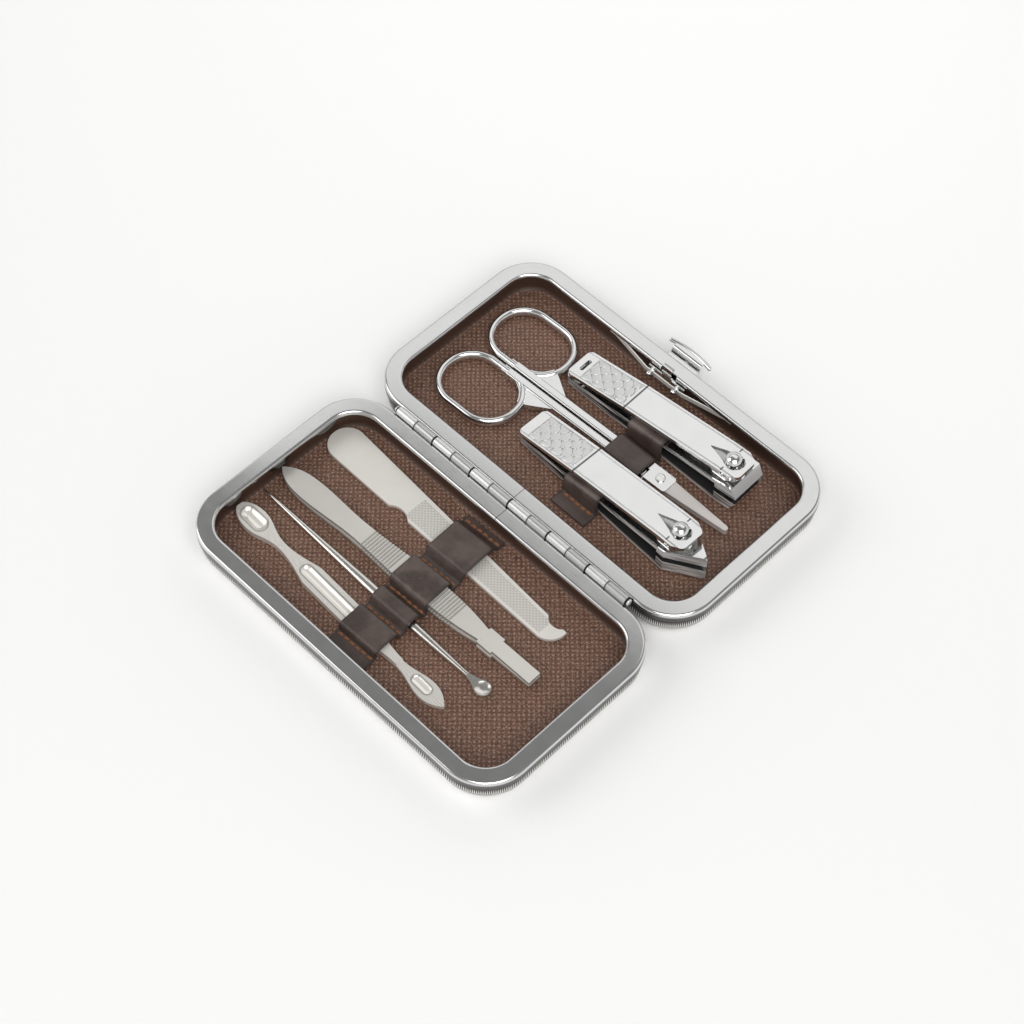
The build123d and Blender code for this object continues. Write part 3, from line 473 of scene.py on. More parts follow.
def pusher_steel(colours):
    """The cuticle pusher: pale satin, with a painted highlight in its hollows and painted shade
    along their rims.
    """
    paint = Paint("pusher_satin_steel", Metallic=0.4)
    tint = colours.tool_steel
    u, v = paint.local(PUSHER)
    # inside marks a painted highlight in the hollows, rim a line of painted shade round them
    inside, rim = 0.0, 0.0
    for start, end, half in PUSHER_HOLLOWS:
        over = (start - u).larger(u - end).larger(0.0)
        reach = (over * over + v * v) ** 0.5
        inside = paint.step(reach, half, half - 0.35).larger(inside)
        rim = paint.step(abs(reach - half), 0.38, 0.1).larger(rim)
    cloud = paint.clouds(260.0, 0.55)
    lines = paint.brushing(u, v, 0.1, 5.0)
    plain = paint.tones(cloud * 0.6 + lines * 0.4, tint, 1.12, 0.9)
    bright = paint.mix(inside * 0.7, plain, shaded(tint, 1.22))
    shade = paint.mix(rim * 0.65, bright, shaded(tint, 0.28))
    rough = 0.26 - inside * 0.1 + (lines - 0.5) * 0.1 + (cloud - 0.5) * 0.1
    return paint.finish(shade, rough, lines + cloud * 0.8, 0.003)


def tweezers_steel(colours):
    """The tweezers: brushed satin with painted shade in the lines between the ribs of their grips
    and on their sides.
    """
    paint = Paint("tweezers_satin_steel", Metallic=0.45)
    tint = colours.tool_steel
    u, v = paint.local(TWEEZERS)
    # Painted shade in the grooves between the ribs
    groove = 0.0
    for start, end in RIB_RUNS:
        line = paint.step(((u - start) / RIB_PITCH).off_middle(), 0.26, 0.40)
        begun = paint.step(u, start - RIB_PITCH, start - RIB_PITCH / 2)
        groove = (line * begun * paint.step(u, end + RIB_PITCH, end)).larger(groove)
    cloud = paint.clouds(260.0, 0.55)
    lines = paint.brushing(u, v, 0.06, 5.0)
    plain = paint.tones(cloud * 0.5 + lines * 0.5, tint, 1.06, 0.8)
    # Darker towards the rear, lighter towards the tips
    rear_darkened = paint.mix(paint.step(u, *REAR_DARKENING) * 0.5, plain, shaded(tint, 0.62))
    tips_lightened = paint.mix(paint.step(u, *BRIGHT_TIPS) * 0.6, rear_darkened, shaded(tint, 1.1))
    # Painted shade on the sides of the leaves
    wall = paint.step(abs(paint.facing[2]), 0.7, 0.3)
    side_shaded = paint.mix(wall * 0.7, tips_lightened, shaded(tint, 0.3))
    shade = paint.mix(groove * 0.62, side_shaded, shaded(tint, 0.3))
    rough = 0.32 + (lines - 0.5) * 0.14 + (cloud - 0.5) * 0.12
    return paint.finish(shade, rough, lines + cloud * 0.8, 0.003)


def frame_steel(colours):
    """The frames' satin plating: clouded on top, painted shade down the outer skirt, bright along
    the bends.
    """
    paint = Paint("frame_satin_plating", Metallic=1.0)
    tint = colours.frame_steel
    outward = paint.step(abs(paint.facing[2]), 0.6, 0.2)
    cloud = paint.noise(paint.place, 200.0, 4.0, 0.6)
    fine = paint.noise(paint.place, 1500.0, 2.0, 0.6)
    streak = paint.noise((paint.x * 0.12, paint.y * 3.0, paint.z * 3.0), 1.0, 2.0)
    # Painted shade: the outward faces of the skirt are darkened below the band
    painted_skirt_shade = paint.step(paint.z, *SKIRT_SHADE_HEIGHTS) * outward
    shade = paint.tones(cloud * 0.6 + fine * 0.2 + streak * 0.2, tint, 0.9, 1.08)
    skirt_shaded = paint.mix(painted_skirt_shade * 0.9, shade, shaded(tint, 0.06))
    rough = 0.17 + (cloud - 0.5) * 0.1 + (fine - 0.5) * 0.03 + (streak - 0.5) * 0.05 + painted_skirt_shade * 0.08
    height = cloud * 2.0 + fine * 0.1 + streak * 0.6
    return paint.finish(skirt_shaded, rough, height, 0.0016)


def file_steel(colours, sizes):
    """The nail file: satin heel and rim, and a face cut with two crossing sets of teeth, with
    painted shade between the teeth.
    """
    paint = Paint("file_cut_steel", Metallic=0.35)
    tint = colours.tool_steel
    u, v = paint.local(FILE)
    pitch = sizes.file_pitch / MM
    slope = (FILE_HEEL - FILE_TOE) / FILE_LENGTH
    side = v.smaller(FILE_HEEL - u * slope - v)
    begun = paint.step(u, TEETH_START, TEETH_START + 0.6)
    cut = begun * paint.step(u, TEETH_END, TEETH_END - 0.6) * paint.step(side, 0.7, 1.0)
    first = ((u + v) * (math.tau / pitch)).wave()
    second = ((u - v * 1.1) * (math.tau / pitch)).wave()
    teeth = first * second
    lines = paint.noise((u * 2.6, v * 0.1, 0.0), 1.0, 3.0, 0.6)
    cloud = paint.clouds(190.0, 0.5)
    plain = paint.tones(cloud * 0.6 + lines * 0.4, tint, 0.92, 1.08)
    # Painted shade in the valleys between the teeth
    shade = paint.mix(cut * (1 - teeth) * 0.55, plain, shaded(tint, 0.5))
    rough = 0.44 + cut * 0.08 + (lines - 0.5) * 0.14 + (cloud - 0.5) * 0.1
    height = cut * teeth * 18.0 + lines * 0.8 - cut * 6.0
    return paint.finish(shade, rough, height, 0.006)


def lever_steel(name, colours, place, half_width):
    """A clipper lever's bright plating, with a pressed line along each side and at the fold,
    painted shade in them and along the hood's seam.
    """
    paint = Paint(name, Metallic=1.0)
    tint = colours.bright_steel
    u, v = paint.local(place)
    edge = half_width - abs(v)
    groove = paint.step(edge, 0.45, 0.62) * paint.step(edge, 0.95, 0.75)
    fold = paint.step(abs(u - LEVER_FOLD), 0.4, 0.12)
    wiped = paint.noise((u * 0.25, v * 5.0, paint.z * 2.0), 1.0, 2.0, 0.6)
    cloud = paint.clouds(150.0, 0.5)
    cheek = paint.step(abs(abs(v) - HOOD_CHEEK), 0.75, 0.6)
    seam = paint.step(abs(u - HOOD_SEAM), 0.32, 0.16) * cheek
    mark = groove.larger(fold)
    # Painted shade in the pressed side lines, at the fold and along the hood's seam
    plain = paint.tones(groove * 0.5 + cloud * 0.15, tint, 1.04, 0.62)
    shade = paint.mix((fold * 0.9).larger(seam * 0.8), plain, shaded(tint, 0.1))
    rough = 0.17 + (wiped - 0.5) * 0.1 + (cloud - 0.5) * 0.1 + mark * 0.1
    height = cloud * 1.8 + wiped * 0.4 - groove * 9.0 - fold * 14.0
    return paint.finish(shade, rough, height, 0.006)


def lining_leatherette(colours, sizes):
    """Brown leatherette with diagonal rows of small uneven light pips, with painted shade up the
    walls.
    """
    paint = Paint("lining_pipped_leatherette", Specular_IOR_Level=0.4)
    pitch = sizes.pip_pitch / MM * math.sqrt(2)
    across, along, upward = [abs(axis) for axis in paint.facing]
    climb = across.math("GREATER_THAN", across, along) * 2 - 1
    drift = paint.noise(paint.place, 520.0, 2.0, 0.6) - 0.5
    sway = paint.noise((paint.y, paint.z, paint.x), 0.52, 2.0, 0.6) - 0.5
    a = (paint.x + paint.y + paint.z) / pitch + drift * 0.55
    b = (paint.x - paint.y + paint.z * climb) / pitch + sway * 0.55
    own = paint.noise((a.whole(), b.whole(), 0.0), 3.7, 0.0)
    da, db = a.off_middle(), b.off_middle()
    reach = (da * da + db * db) ** 0.5
    # level falls from 1 on the floor to 0 up the walls, where painted shade darkens the lining and
    # hides its pips and specks
    level = paint.step(upward, 0.75, 0.99)
    grit = paint.noise(paint.place, 2700.0, 1.0, 0.7)
    patch = paint.clouds(90.0)
    pip = paint.step(reach + (grit - 0.5) * 0.3, 0.3, 0.1) * (0.25 + own * 1.5) * level
    dent = paint.step(reach, 0.44, 0.66)
    grain = paint.step(grit, 0.36, 0.64)
    ground = paint.tones(grain * 0.8 + patch * 0.2, colours.lining, 0.52, 1.45)
    dents_and_wall_shade = paint.mix(dent * 0.3 + (1 - level) * 0.85, ground, shaded(colours.lining, 0.36))
    shade = paint.mix(pip * 0.68, dents_and_wall_shade, shaded(colours.pip, 1.2))
    sparkle = paint.step(paint.noise((paint.y, paint.x, paint.z), 3.1, 1.0), 0.60, 0.68)
    bright = paint.mix(sparkle * 0.55 * level, shade, shaded(colours.pip, 1.45))
    rough = 0.5 - pip * 0.12 + (grit - 0.5) * 0.25
    height = pip * 0.8 + grit * 0.8 - dent * 0.3
    return paint.finish(bright, rough, height, 0.12)


def strap_leather(name, colours, place, width, sheen_height):
    """Smooth dark leather: fine pores, soft creases, dark cut edges and a painted sheen on its
    crowns.
    """
    paint = Paint(name, Coat_Weight=0.15, Coat_Roughness=0.3, Specular_IOR_Level=0.5)
    u, _ = paint.local(place)
    pores = paint.grains(2600.0)
    crease = paint.noise((paint.x * 0.5, paint.y * 1.6, paint.z * 1.2), 1.0, 3.0, 0.6)
    cloud = paint.clouds(130.0)
    bloom = paint.step(cloud, 0.35, 0.68)
    # Painted sheen on the crowns, in patches
    painted_crown_sheen = paint.step(paint.z, sheen_height - 1.0, sheen_height + 1.5)
    edge = paint.step(abs(u), width / 2 - 0.8, width / 2 - 0.15)
    ground = paint.tones(bloom * 0.7 + pores * 0.3, colours.leather, 0.62, 1.15)
    crowned = paint.mix(painted_crown_sheen * bloom * 0.85, ground, colours.leather_sheen)
    shade = paint.mix(edge * 0.6, crowned, shaded(colours.leather, 0.35))
    rough = 0.4 + (pores - 0.4) * 0.12 + (cloud - 0.5) * 0.24 - painted_crown_sheen * 0.08
    height = pores * 0.5 + crease * 1.6
    return paint.finish(shade, rough, height, 0.05)


def sewing_thread(colours):
    """Twisted thread, with its plies and a little fuzz."""
    paint = Paint("waxed_thread", Specular_IOR_Level=0.3)
    ply = ((paint.x + paint.y * 1.1 + paint.z * 1.1) * (math.tau / 0.34)).wave()
    fuzz = paint.clouds(3000.0, 0.5)
    shade = paint.tones(ply * 0.6 + fuzz * 0.4, colours.thread, 0.55, 1.35)
    rough = 0.6 + (fuzz - 0.5) * 0.2
    return paint.finish(shade, rough, ply + fuzz * 0.4, 0.06)


def cover_leatherette(colours, sizes):
    """White leatherette with rows of short dark dashes, and a toothed band of painted shade under
    the frame.
    """
    paint = Paint("cover_woven_leatherette", Specular_IOR_Level=0.4)
    pitch = sizes.tick_pitch / MM
    in_lid = paint.y.math("LESS_THAN", paint.y, LID_Y / 2)
    turned = paint.x.math("GREATER_THAN", paint.x * (paint.y - in_lid * LID_Y), 0.0)
    run = (paint.x + paint.y * (1 - turned * 2)) / pitch
    level = abs(paint.facing[2])
    saw = run.off_middle() * 2
    under = paint.step(paint.z + saw * TOOTH_HEIGHT, BAND_TOP, BAND_TOP + 0.2)
    # Painted shade in a toothed band on the sides, under the frame
    painted_band_shade = under * paint.step(level, 0.8, 0.6)
    dashes = 0.0
    for along, row, share in (
        (run, paint.z / SIDE_ROWS, paint.step(level, 0.6, 0.4)),
        (paint.x / (pitch * 2), paint.y / FACE_ROWS, paint.step(level, 0.93, 0.99)),
    ):
        line = paint.step((along + row.whole() * 0.5).off_middle(), 0.2, 0.12)
        dashes = line * paint.step(row.off_middle(), 0.34, 0.26) * share + dashes
    uneven = paint.clouds(420.0)
    pebble = paint.grains(1100.0)
    ground = paint.tones(uneven * 0.6 + pebble * 0.3, colours.cover, 1.08, 0.8)
    dashed = paint.mix(dashes * (0.5 + uneven * 0.6), ground, colours.tick)
    shade = paint.mix(painted_band_shade, dashed, shaded(colours.tick, 0.75))
    rough = 0.45 + (uneven - 0.5) * 0.25
    height = pebble * 0.5 + uneven * 0.5 - dashes * 0.6 - painted_band_shade * 0.4
    return paint.finish(shade, rough, height, 0.05)


def grey_board(colours):
    """Pressed fibre board."""
    paint = Paint("pressed_board", Specular_IOR_Level=0.2)
    fibre = paint.noise((paint.x * 0.8, paint.y * 2.4, paint.z * 4.0), 1.3, 4.0, 0.7)
    fleck = paint.step(paint.noise(paint.place, 900.0, 1.0), 0.62, 0.7)
    ground = paint.tones(fibre, colours.board, 0.75, 1.2)
    shade = paint.mix(fleck * 0.5, ground, shaded(colours.board, 0.5))
    rough = 0.8 + (fibre - 0.5) * 0.2
    return paint.finish(shade, rough, fibre, 0.05)


def studio_floor(colours):
    """Pale matt paper with a faint tooth."""
    paint = Paint("studio_paper", Specular_IOR_Level=0.1)
    tooth = paint.clouds(700.0)
    shade = paint.mix(tooth, shaded(colours.floor, 0.995), colours.floor)
    rough = 0.85 + (tooth - 0.5) * 0.1
    return paint.finish(shade, rough)


# Mesh helpers

def tool_place(place, height=TOOL_Z):
    """The matrix that carries a tool's own millimetres to its place in the tray, in metres."""
    x0, y0, turn = place
    move = Matrix.Translation(Vector((x0, y0, height)) * MM)
    return move @ Matrix.Rotation(math.radians(turn), 4, "Z") @ Matrix.Scale(MM, 4)


def smooth_piece(mesh, material, crease):
    """Shows a mesh, smooth up to a crease angle in degrees, in one material."""
    mesh.shade_smooth()
    mesh.set_sharp_from_angle(angle=math.radians(crease))
    mesh.materials.append(material)
    piece = bpy.data.objects.new(mesh.name, mesh)
    bpy.context.scene.collection.objects.link(piece)
    return piece


def mesh_piece(name, points, faces, matrix, material, crease=40.0):
    """A piece from points in its own millimetres."""
    mesh = bpy.data.meshes.new(name)
    mesh.from_pydata([matrix @ Vector(p) for p in points], [], faces)
    mesh.validate()
    return smooth_piece(mesh, material, crease)


def grid_faces(rows, columns, first=0, closed=False, turned=False):
    """Faces between rows of points; a closed grid also joins each row's end to its start."""
    faces = []
    for row in range(rows - 1):
        for k in range(columns if closed else columns - 1):
            here = first + row * columns + k
            beside = first + row * columns + (k + 1) % columns
            left, right = (beside, here + columns) if turned else (here + columns, beside)
            faces.append((here, left, beside + columns, right))
    return faces


def circle(x, radius, z, sides):
    """Points round an upright line at x."""
    turns = [math.tau * k / sides for k in range(sides)]
    return [(x + radius * math.cos(turn), radius * math.sin(turn), z) for turn in turns]


def spring_leg(name, side, material):
    """Half of the latch's leaf spring, cut into short lengths."""
    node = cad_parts["latch_spring"]
    shape = bmesh.new()
    shape.from_mesh(node.data)
    shape.transform(node.matrix_world)
    bmesh.ops.remove_doubles(shape, verts=shape.verts, dist=0.001 * MM)
    for count in range(SPRING_CUTS):
        where = SPRING_SPAN / 2 * count / SPRING_CUTS * MM * side
        cells = shape.verts[:] + shape.edges[:] + shape.faces[:]
        bmesh.ops.bisect_plane(
            shape, geom=cells, plane_co=(where, 0, 0), plane_no=(side, 0, 0), clear_inner=count == 0
        )
    bmesh.ops.holes_fill(shape, edges=[edge for edge in shape.edges if edge.is_boundary], sides=0)
    bmesh.ops.recalc_face_normals(shape, faces=shape.faces)
    mesh = bpy.data.meshes.new(name)
    shape.to_mesh(mesh)
    shape.free()
    return smooth_piece(mesh, material, crease=30.0)


def dress(material, *nodes):
    """Gives CAD nodes a finish."""
    for node in nodes:
        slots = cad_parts[node].data.materials
        slots.clear()
        slots.append(material)


def rounded_line(corners, radii, steps=7):
    """A line through corners in a plane, each inner corner replaced by an arc."""
    line = [Vector(corners[0])]
    for before, corner, after, radius in zip(corners, corners[1:], corners[2:], radii):
        corner = Vector(corner)
        into = (Vector(before) - corner).normalized()
        out = (Vector(after) - corner).normalized()
        half = into.angle(out) / 2
        reach = radius / math.tan(half)
        centre = corner + (into + out).normalized() * (radius / math.sin(half))
        start, end = corner + into * reach - centre, corner + out * reach - centre
        sweep = start.angle_signed(end)
        line += [centre + Matrix.Rotation(-sweep * k / steps, 2) @ start for k in range(steps + 1)]
    line.append(Vector(corners[-1]))
    return line


# Straps

def strap_corners(loops, share, start, end, thickness):
    """Corners of a strap's middle line at a share of its width."""
    low = FLOOR_Z + STRAP_GAP + thickness / 2
    corners = [(start, low)]
    for middle, half, lean, heights in loops:
        height = heights[0] * (1 - share) + heights[1] * share
        rise = TOOL_Z + height + LOOP_PLAY + thickness / 2
        crown = half + LOOP_PLAY + thickness / 2
        corners += [
            (middle - crown - lean, low),
            (middle - crown, rise),
            (middle + crown, rise),
            (middle + crown + lean, low),
        ]
    corners.append((end, low))
    return corners


def strap_stations(width, rounding):
    """Distances across a strap, close together at its edges, and its share of thickness there."""
    edge = [(0.0, 0.35), (0.12, 0.62), (0.35, 0.85), (0.65, 0.97), (1.0, 1.0)]
    near = [(share * rounding, left) for share, left in edge]
    inside = [(rounding + (width - 2 * rounding) * k / 10, 1.0) for k in range(1, 10)]
    far = [(width - distance, left) for distance, left in reversed(near)]
    return near + inside + far


def strap_mesh(loops, width, start, end, sizes):
    """A leather strap's points and faces: rounded at its edges and slightly uneven."""
    thickness = sizes.strap_thickness / MM
    foot, crown = sizes.foot_bend / MM, sizes.crown_bend / MM
    radii = [foot, crown, crown, foot] * len(loops)

    def middle_line(share):
        return rounded_line(strap_corners(loops, share, start, end, thickness), radii)

    # Every line is cut as the one in the middle is, into pieces of about a millimetre
    shape = middle_line(0.5)
    counts = [max(1, round((b - a).length / 0.9)) for a, b in zip(shape, shape[1:])]
    rows = []
    for distance, left in strap_stations(width, sizes.edge_rounding / MM):
        line = middle_line(distance / width)
        fine = [line[0]]
        for (a, b), count in zip(zip(line, line[1:]), counts):
            fine += [a.lerp(b, k / count) for k in range(1, count + 1)]
        rows.append(strap_row(fine, distance - width / 2, thickness * left / 2))
    return closed_sheet(rows)


def strap_row(line, across, half):
    """A ring of points round a strap at one distance across it: out above and back below."""
    above, below = [], []
    for k, place in enumerate(line):
        run = (line[min(k + 1, len(line) - 1)] - line[max(k - 1, 0)]).normalized()
        side = Vector((-run.y, run.x)) * half
        wobble = 0.03 * math.sin(across * 1.7 + k * 0.31) * math.sin(k * 0.11)
        above.append((across, place.x + side.x, place.y + side.y + wobble))
        below.append((across, place.x - side.x, place.y - side.y))
    return above + below[::-1]


def closed_sheet(rows):
    """Closes a strap's rings of points into one skin, with its two cut sides."""
    around = len(rows[0])
    faces = grid_faces(len(rows), around, closed=True)
    for first, turned in ((0, False), ((len(rows) - 1) * around, True)):
        for k in range(around // 2 - 1):
            side = (first + k, first + around - 1 - k, first + around - 2 - k, first + k + 1)
            faces.append(side[::-1] if turned else side)
    return [point for row in rows for point in row], faces


# Thread

def sewn_lines(loops, thickness):
    """Where the rows of stitches run: between the loops and just outside the outer ones."""
    feet = []
    for middle, half, lean, _ in loops:
        reach = half + LOOP_PLAY + thickness / 2 + lean
        feet.append((middle - reach, middle + reach))
    between = [(a[1] + b[0]) / 2 for a, b in zip(feet, feet[1:])]
    return [feet[0][0] - 1.0, *between, feet[-1][1] + 1.0]


def stitch(x, y, z, sizes, turn):
    """One stitch: a plump strand that dips into the leather at both ends."""
    reach, radius = sizes.stitch_length / MM / 2, sizes.thread_radius / MM
    rings, sides = 10, 8
    points = []
    for k in range(rings + 1):
        t = k / rings
        swell = math.sin(math.pi * t)
        along = (2 * t - 1) * reach
        thick = radius * (0.25 + 0.75 * swell ** 0.5)
        lift = z - radius * 0.6 + radius * 0.9 * swell
        for s in range(sides):
            angle = math.tau * s / sides
            side, up = thick * math.cos(angle), thick * 0.8 * math.sin(angle)
            points.append((x + along - side * turn, y + along * turn + side, lift + up))
    faces = grid_faces(rings + 1, sides, closed=True, turned=True)
    faces.append(tuple(range(sides - 1, -1, -1)))
    faces.append(tuple(range(rings * sides, (rings + 1) * sides)))
    return points, faces


def thread_mesh(loops, width, sizes):
    """Every stitch of one strap."""
    thickness, pitch = sizes.strap_thickness / MM, sizes.stitch_pitch / MM
    count = int((width - 0.6) / pitch)
    top = FLOOR_Z + STRAP_GAP + thickness
    points, faces = [], []
    for row, y in enumerate(sewn_lines(loops, thickness)):
        for k in range(count):
            middle = (k - (count - 1) / 2) * pitch
            wander = 0.08 * math.sin(row * 2.3 + k * 1.9)
            turn = 0.10 + 0.04 * math.sin(k * 2.7 + row)
            own, own_faces = stitch(middle, y + wander, top, sizes, turn)
            shift = len(points)
            points += own
            faces += [tuple(i + shift for i in face) for face in own_faces]
    return points, faces


# Scales on the levers

def scale_height(u, v, sizes):
    """Height of overlapping scales with bowed free edges, as a share of their relief."""
    pitch, width = sizes.scale_pitch / MM, sizes.scale_width / MM
    for row in range(int(u / pitch) - 2, int(u / pitch) + 2):
        middle = (v / width + 0.5 * (row % 2)) % 1.0 - 0.5
        edge = row * pitch + pitch * 0.75 * (1 - (2 * middle) ** 2)
        if u <= edge:
            behind = (edge - u) / (1.75 * pitch)
            return max(0.0, 1 - behind) ** 0.8 * min(1.0, (edge - u) / 0.14 + 0.1)
    return 0.0


def scale_pad(start, half, sizes):
    """A lever's thumb pad: a grid raised into rows of scales, closed down to the lever."""
    rear_x, rear_z = LEVER_REAR
    front_x, front_z = LEVER_FRONT
    angle = math.atan2(front_z - rear_z, front_x - rear_x)
    cosine, sine = math.cos(angle), math.sin(angle)
    along, across = PAD_CELLS
    relief = sizes.scale_relief / MM

    def lifted(u, v, h):
        return rear_x + u * cosine - h * sine, v, rear_z + u * sine + h * cosine

    points = []
    for i in range(along + 1):
        for j in range(across + 1):
            u = start + (PAD_END - start) * i / along
            v = half * (2 * j / across - 1)
            rim = min(i, along - i, j * 1.2, (across - j) * 1.2)
            raised = min(1.0, rim / 4) * (0.05 + relief * scale_height(u - start, v, sizes))
            points.append(lifted(u, v, PAD_LIFT + raised))
    return points, grid_faces(along + 1, across + 1)


def post_crown(sides=48):
    """The domed top of a clipper's post, with a turned groove round it."""
    points = []
    for share, up in CROWN_OUTLINE:
        points += circle(CROWN_X, CROWN_RADIUS * share, CROWN_FOOT + CROWN_RISE * up, sides)
    points.append((CROWN_X, 0.0, CROWN_FOOT + CROWN_RISE))
    faces = grid_faces(len(CROWN_OUTLINE), sides, closed=True, turned=True)
    last = (len(CROWN_OUTLINE) - 1) * sides
    faces += [(last + k, last + (k + 1) % sides, last + sides) for k in range(sides)]
    return points, faces


# Studio

def soft_panel(name, place, size, radiance, aim):
    """A soft lamp whose face has a given radiance, facing down or at its aim."""
    light = bpy.data.lights.new(name, "AREA")
    light.shape = "RECTANGLE"
    light.size, light.size_y = size
    light.energy = radiance * math.pi * size[0] * size[1]
    panel = bpy.data.objects.new(name, light)
    panel.location = place
    if aim:
        panel.rotation_euler = (Vector(aim) - Vector(place)).to_track_quat("-Z", "Y").to_euler()
    panel.visible_camera = False
    bpy.context.scene.collection.objects.link(panel)


def studio_world():
    """A white wall round the table under a grey ceiling."""
    world = bpy.data.worlds.new("studio_room")
    world.use_nodes = True
    tree = world.node_tree
    tree.nodes.clear()
    kinds = ("TexCoord", "SeparateXYZ", "MapRange", "Background", "OutputWorld")
    place, split, rise, background, output = [tree.nodes.new(f"ShaderNode{k}") for k in kinds]
    rise.interpolation_type = "SMOOTHSTEP"
    limits = {"From Min": WALL_END, "From Max": CEILING_START, "To Min": 1, "To Max": CEILING_GREY}
    for socket, value in limits.items():
        rise.inputs[socket].default_value = value
    tree.links.new(place.outputs["Generated"], split.inputs[0])
    tree.links.new(split.outputs["Z"], rise.inputs["Value"])
    tree.links.new(rise.outputs["Result"], background.inputs["Strength"])
    tree.links.new(background.outputs[0], output.inputs[0])
    bpy.context.scene.world = world


def floor_mesh(material, sides=64):
    """A wide round sheet of paper on the table."""
    points = [(0.0, 0.0, FLOOR_LEVEL)]
    for radius in FLOOR_RINGS:
        points += circle(0.0, radius, FLOOR_LEVEL, sides)
    faces = [(0, 1 + k, 1 + (k + 1) % sides) for k in range(sides)]
    faces += grid_faces(len(FLOOR_RINGS), sides, first=1, closed=True)
    return mesh_piece("studio_floor", points, faces, Matrix.Scale(MM, 4), material)


# Operators

class CaseOperator:
    """What every operator of the case shares."""

    bl_options = {"REGISTER", "UNDO"}

    @property
    def sizes(self):
        return bpy.context.scene.manicure_sizes

    @property
    def colours(self):
        return bpy.context.scene.manicure_colours


class CASE_OT_frames(CaseOperator, bpy.types.Operator):
    """Finish the two rolled frames, the hinge and the latch in steel."""

    bl_idname = "manicure.frames"
    bl_label = "Frames, hinge and latch"

    def execute(self, context):
        colours = self.colours
        dress(frame_steel(colours), "base_frame", "lid_frame")
        tint = colours.frame_steel
        # Painted light and shade: the base's hinge gets a lighter copy of the steel, the lid's a
        # darker copy
        dress(hinge_steel("base_hinge_lit_steel", shaded(tint, 1.1)), "base_hinge_leaf", "hinge_pin")
        dress(hinge_steel("lid_hinge_shaded_steel", shaded(tint, 0.8)), "lid_hinge_leaf")
        bright = polished_steel("latch_bright_steel", colours.bright_steel)
        dress(bright, "latch_tab", "latch_rivets")
        spring_steel = brushed_steel("latch_spring_steel", colours.spring_steel, metallic=0.3)
        for name, side in (("left", -1), ("right", 1)):
            leg = spring_leg(f"latch_spring_{name}_leg", side, spring_steel)
            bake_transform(leg)
            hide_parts("latch_spring")
        return {"FINISHED"}


class CASE_OT_trays(CaseOperator, bpy.types.Operator):
    """Finish the outer leatherette, the board and the pipped lining of both trays."""

    bl_idname = "manicure.trays"
    bl_label = "Covers, boards and linings"

    def execute(self, context):
        dress(cover_leatherette(self.colours, self.sizes), "base_cover", "lid_cover")
        dress(grey_board(self.colours), "base_board", "lid_board")
        dress(lining_leatherette(self.colours, self.sizes), "base_lining", "lid_lining")
        return {"FINISHED"}


class CASE_OT_straps(CaseOperator, bpy.types.Operator):
    """Make both leather straps with their loops and their rows of stitches."""

    bl_idname = "manicure.straps"
    bl_label = "Leather loops and thread"

    def execute(self, context):
        thread = sewing_thread(self.colours)
        for body, loops, start, end, place, crown in STRAPS:
            width = getattr(self.sizes, f"{body}_strap_width") / MM
            matrix = tool_place(place, 0.0)
            leather = strap_leather(f"{body}_strap_leather", self.colours, place, width, crown)
            points, faces = strap_mesh(loops, width, start, end, self.sizes)
            strap = mesh_piece(f"{body}_strap_leather_loops", points, faces, matrix, leather)
            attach(strap, body)
            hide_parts(f"{body}_strap")
            points, faces = thread_mesh(loops, width, self.sizes)
            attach(mesh_piece(f"{body}_strap_stitches", points, faces, matrix, thread), body)
        return {"FINISHED"}


class CASE_OT_flat_tools(CaseOperator, bpy.types.Operator):
    """Finish the file, tweezers, ear pick and cuticle pusher in satin steel."""

    bl_idname = "manicure.flat_tools"
    bl_label = "File, tweezers, ear pick and pusher"

    def execute(self, context):
        tint = self.colours.tool_steel
        dress(file_steel(self.colours, self.sizes), "nail_file")
        dress(tweezers_steel(self.colours), "tweezers_upper_leaf", "tweezers_lower_leaf")
        dress(polished_steel("ear_pick_steel", tint, EAR_PICK, roughness=0.2), "ear_pick")
        dress(pusher_steel(self.colours), "cuticle_pusher")
        return {"FINISHED"}


class CASE_OT_scissors(CaseOperator, bpy.types.Operator):
    """Finish the scissors' two halves and their screw."""

    bl_idname = "manicure.scissors"
    bl_label = "Scissors"

    def execute(self, context):
        tint = self.colours.bright_steel
        dress(scissors_steel(tint), "scissors_lower_half", "scissors_upper_half")
        dress(brushed_steel("scissors_screw_steel", tint, SCISSORS, 0.2), "scissors_screw")
        return {"FINISHED"}


class CASE_OT_clippers(CaseOperator, bpy.types.Operator):
    """Finish both clippers and press the scales into their levers."""

    bl_idname = "manicure.clippers"
    bl_label = "Clippers"

    def execute(self, context):
        tint = self.colours.bright_steel
        for kind, place, half, start in CLIPPERS:
            matrix = tool_place(place)
            bright = polished_steel(f"{kind}_clipper_post_steel", tint, place, roughness=0.09)
            dress(bright, *[f"{kind}_clipper_{piece}" for piece in ("post", "lever_pin", "rivet")])
            for jaw, inside in (("lower", 1.0), ("upper", -1.0)):
                steel = jaw_steel(f"{kind}_{jaw}_jaw_steel", tint, place, inside)
                dress(steel, f"{kind}_clipper_{jaw}_jaw")
            satin = lever_steel(f"{kind}_clipper_lever_steel", self.colours, place, half)
            dress(satin, f"{kind}_clipper_lever")
            points, faces = scale_pad(start, half - PAD_MARGIN, self.sizes)
            embossed = embossed_steel(f"{kind}_clipper_pad_steel", tint, place)
            pad = mesh_piece(f"{kind}_clipper_scale_pad", points, faces, matrix, embossed, 60.0)
            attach(pad, f"{kind}_clipper_handle")
            points, faces = post_crown()
            post = mesh_piece(f"{kind}_clipper_post_crown", points, faces, matrix, bright, 50.0)
            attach(post, f"{kind}_clipper_swivel")
        return {"FINISHED"}


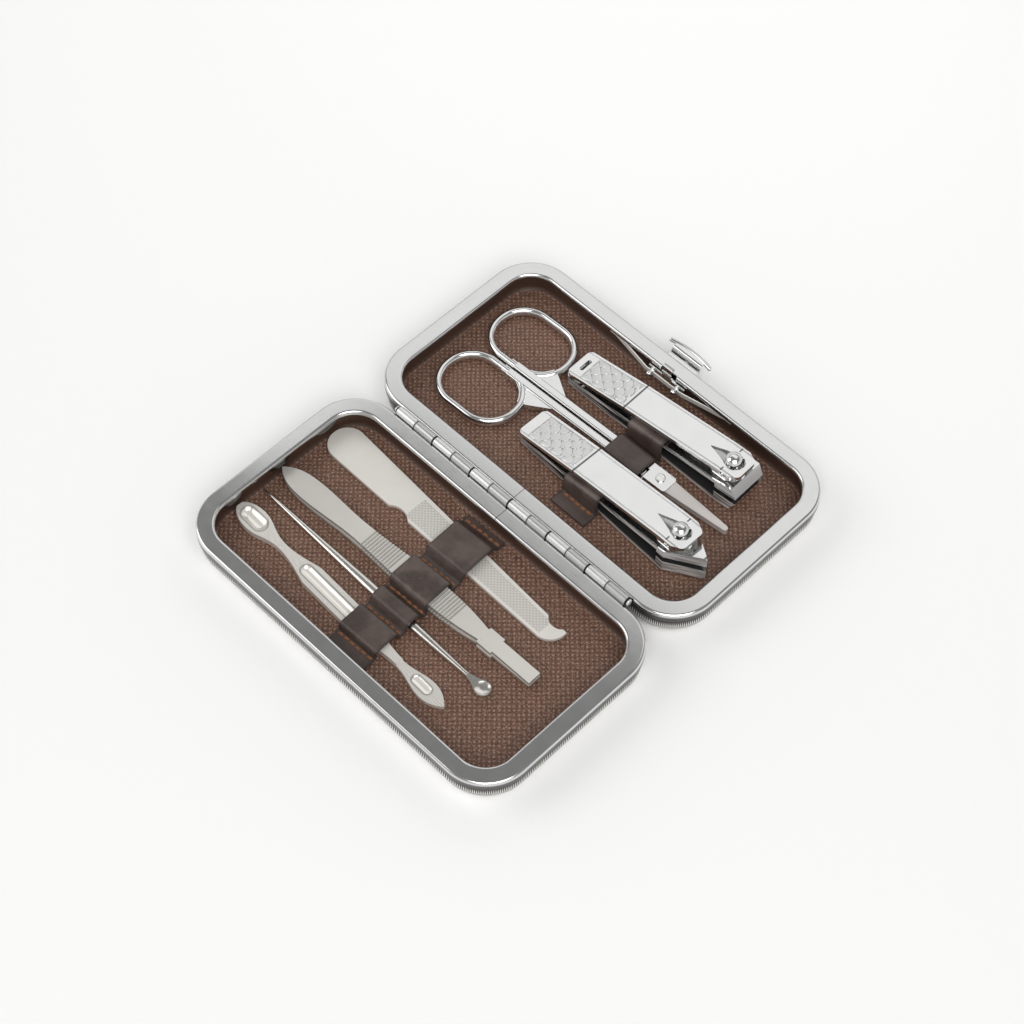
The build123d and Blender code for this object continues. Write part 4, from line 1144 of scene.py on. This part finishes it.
class CASE_OT_stage(CaseOperator, bpy.types.Operator):
    """Set the floor, the soft panels, the room and the camera."""

    bl_idname = "manicure.stage"
    bl_label = "Studio"

    def execute(self, context):
        scene = context.scene
        floor_mesh(studio_floor(self.colours))
        studio_world()
        for panel in PANELS:
            soft_panel(*panel)
        lens = bpy.data.cameras.new("photo_camera")
        lens.lens, lens.sensor_width = CAMERA_LENS, CAMERA_SENSOR
        lens.clip_start, lens.clip_end = 0.01, 50.0
        camera = bpy.data.objects.new("photo_camera", lens)
        camera.location = CAMERA_PLACE
        camera.rotation_euler = CAMERA_TURN
        scene.collection.objects.link(camera)
        scene.camera = camera
        scene.view_settings.view_transform = "Standard"
        return {"FINISHED"}


OPERATORS = (
    CASE_OT_frames,
    CASE_OT_trays,
    CASE_OT_straps,
    CASE_OT_flat_tools,
    CASE_OT_scissors,
    CASE_OT_clippers,
    CASE_OT_stage,
)


class CASE_PT_panel(bpy.types.Panel):
    """Lists the case's sizes, colours and operators in the sidebar."""

    bl_idname = "CASE_PT_panel"
    bl_label = "Manicure Case"
    bl_space_type = "VIEW_3D"
    bl_region_type = "UI"
    bl_category = "Manicure Case"

    def draw(self, context):
        layout = self.layout
        for group in (context.scene.manicure_sizes, context.scene.manicure_colours):
            box = layout.box()
            for key in group.__annotations__:
                box.prop(group, key)
        for operator in OPERATORS:
            layout.operator(operator.bl_idname)


CLASSES = (ManicureSizes, ManicureColours, *OPERATORS, CASE_PT_panel)


def register():
    for cls in CLASSES:
        bpy.utils.register_class(cls)
    bpy.types.Scene.manicure_sizes = bpy.props.PointerProperty(type=ManicureSizes)
    bpy.types.Scene.manicure_colours = bpy.props.PointerProperty(type=ManicureColours)


def unregister():
    del bpy.types.Scene.manicure_colours
    del bpy.types.Scene.manicure_sizes
    for cls in reversed(CLASSES):
        bpy.utils.unregister_class(cls)


def main():
    """Registers the add-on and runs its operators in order."""
    register()
    bpy.ops.manicure.frames()
    bpy.ops.manicure.trays()
    bpy.ops.manicure.straps()
    bpy.ops.manicure.flat_tools()
    bpy.ops.manicure.scissors()
    bpy.ops.manicure.clippers()
    bpy.ops.manicure.stage()


if __name__ == "__main__":
    main()
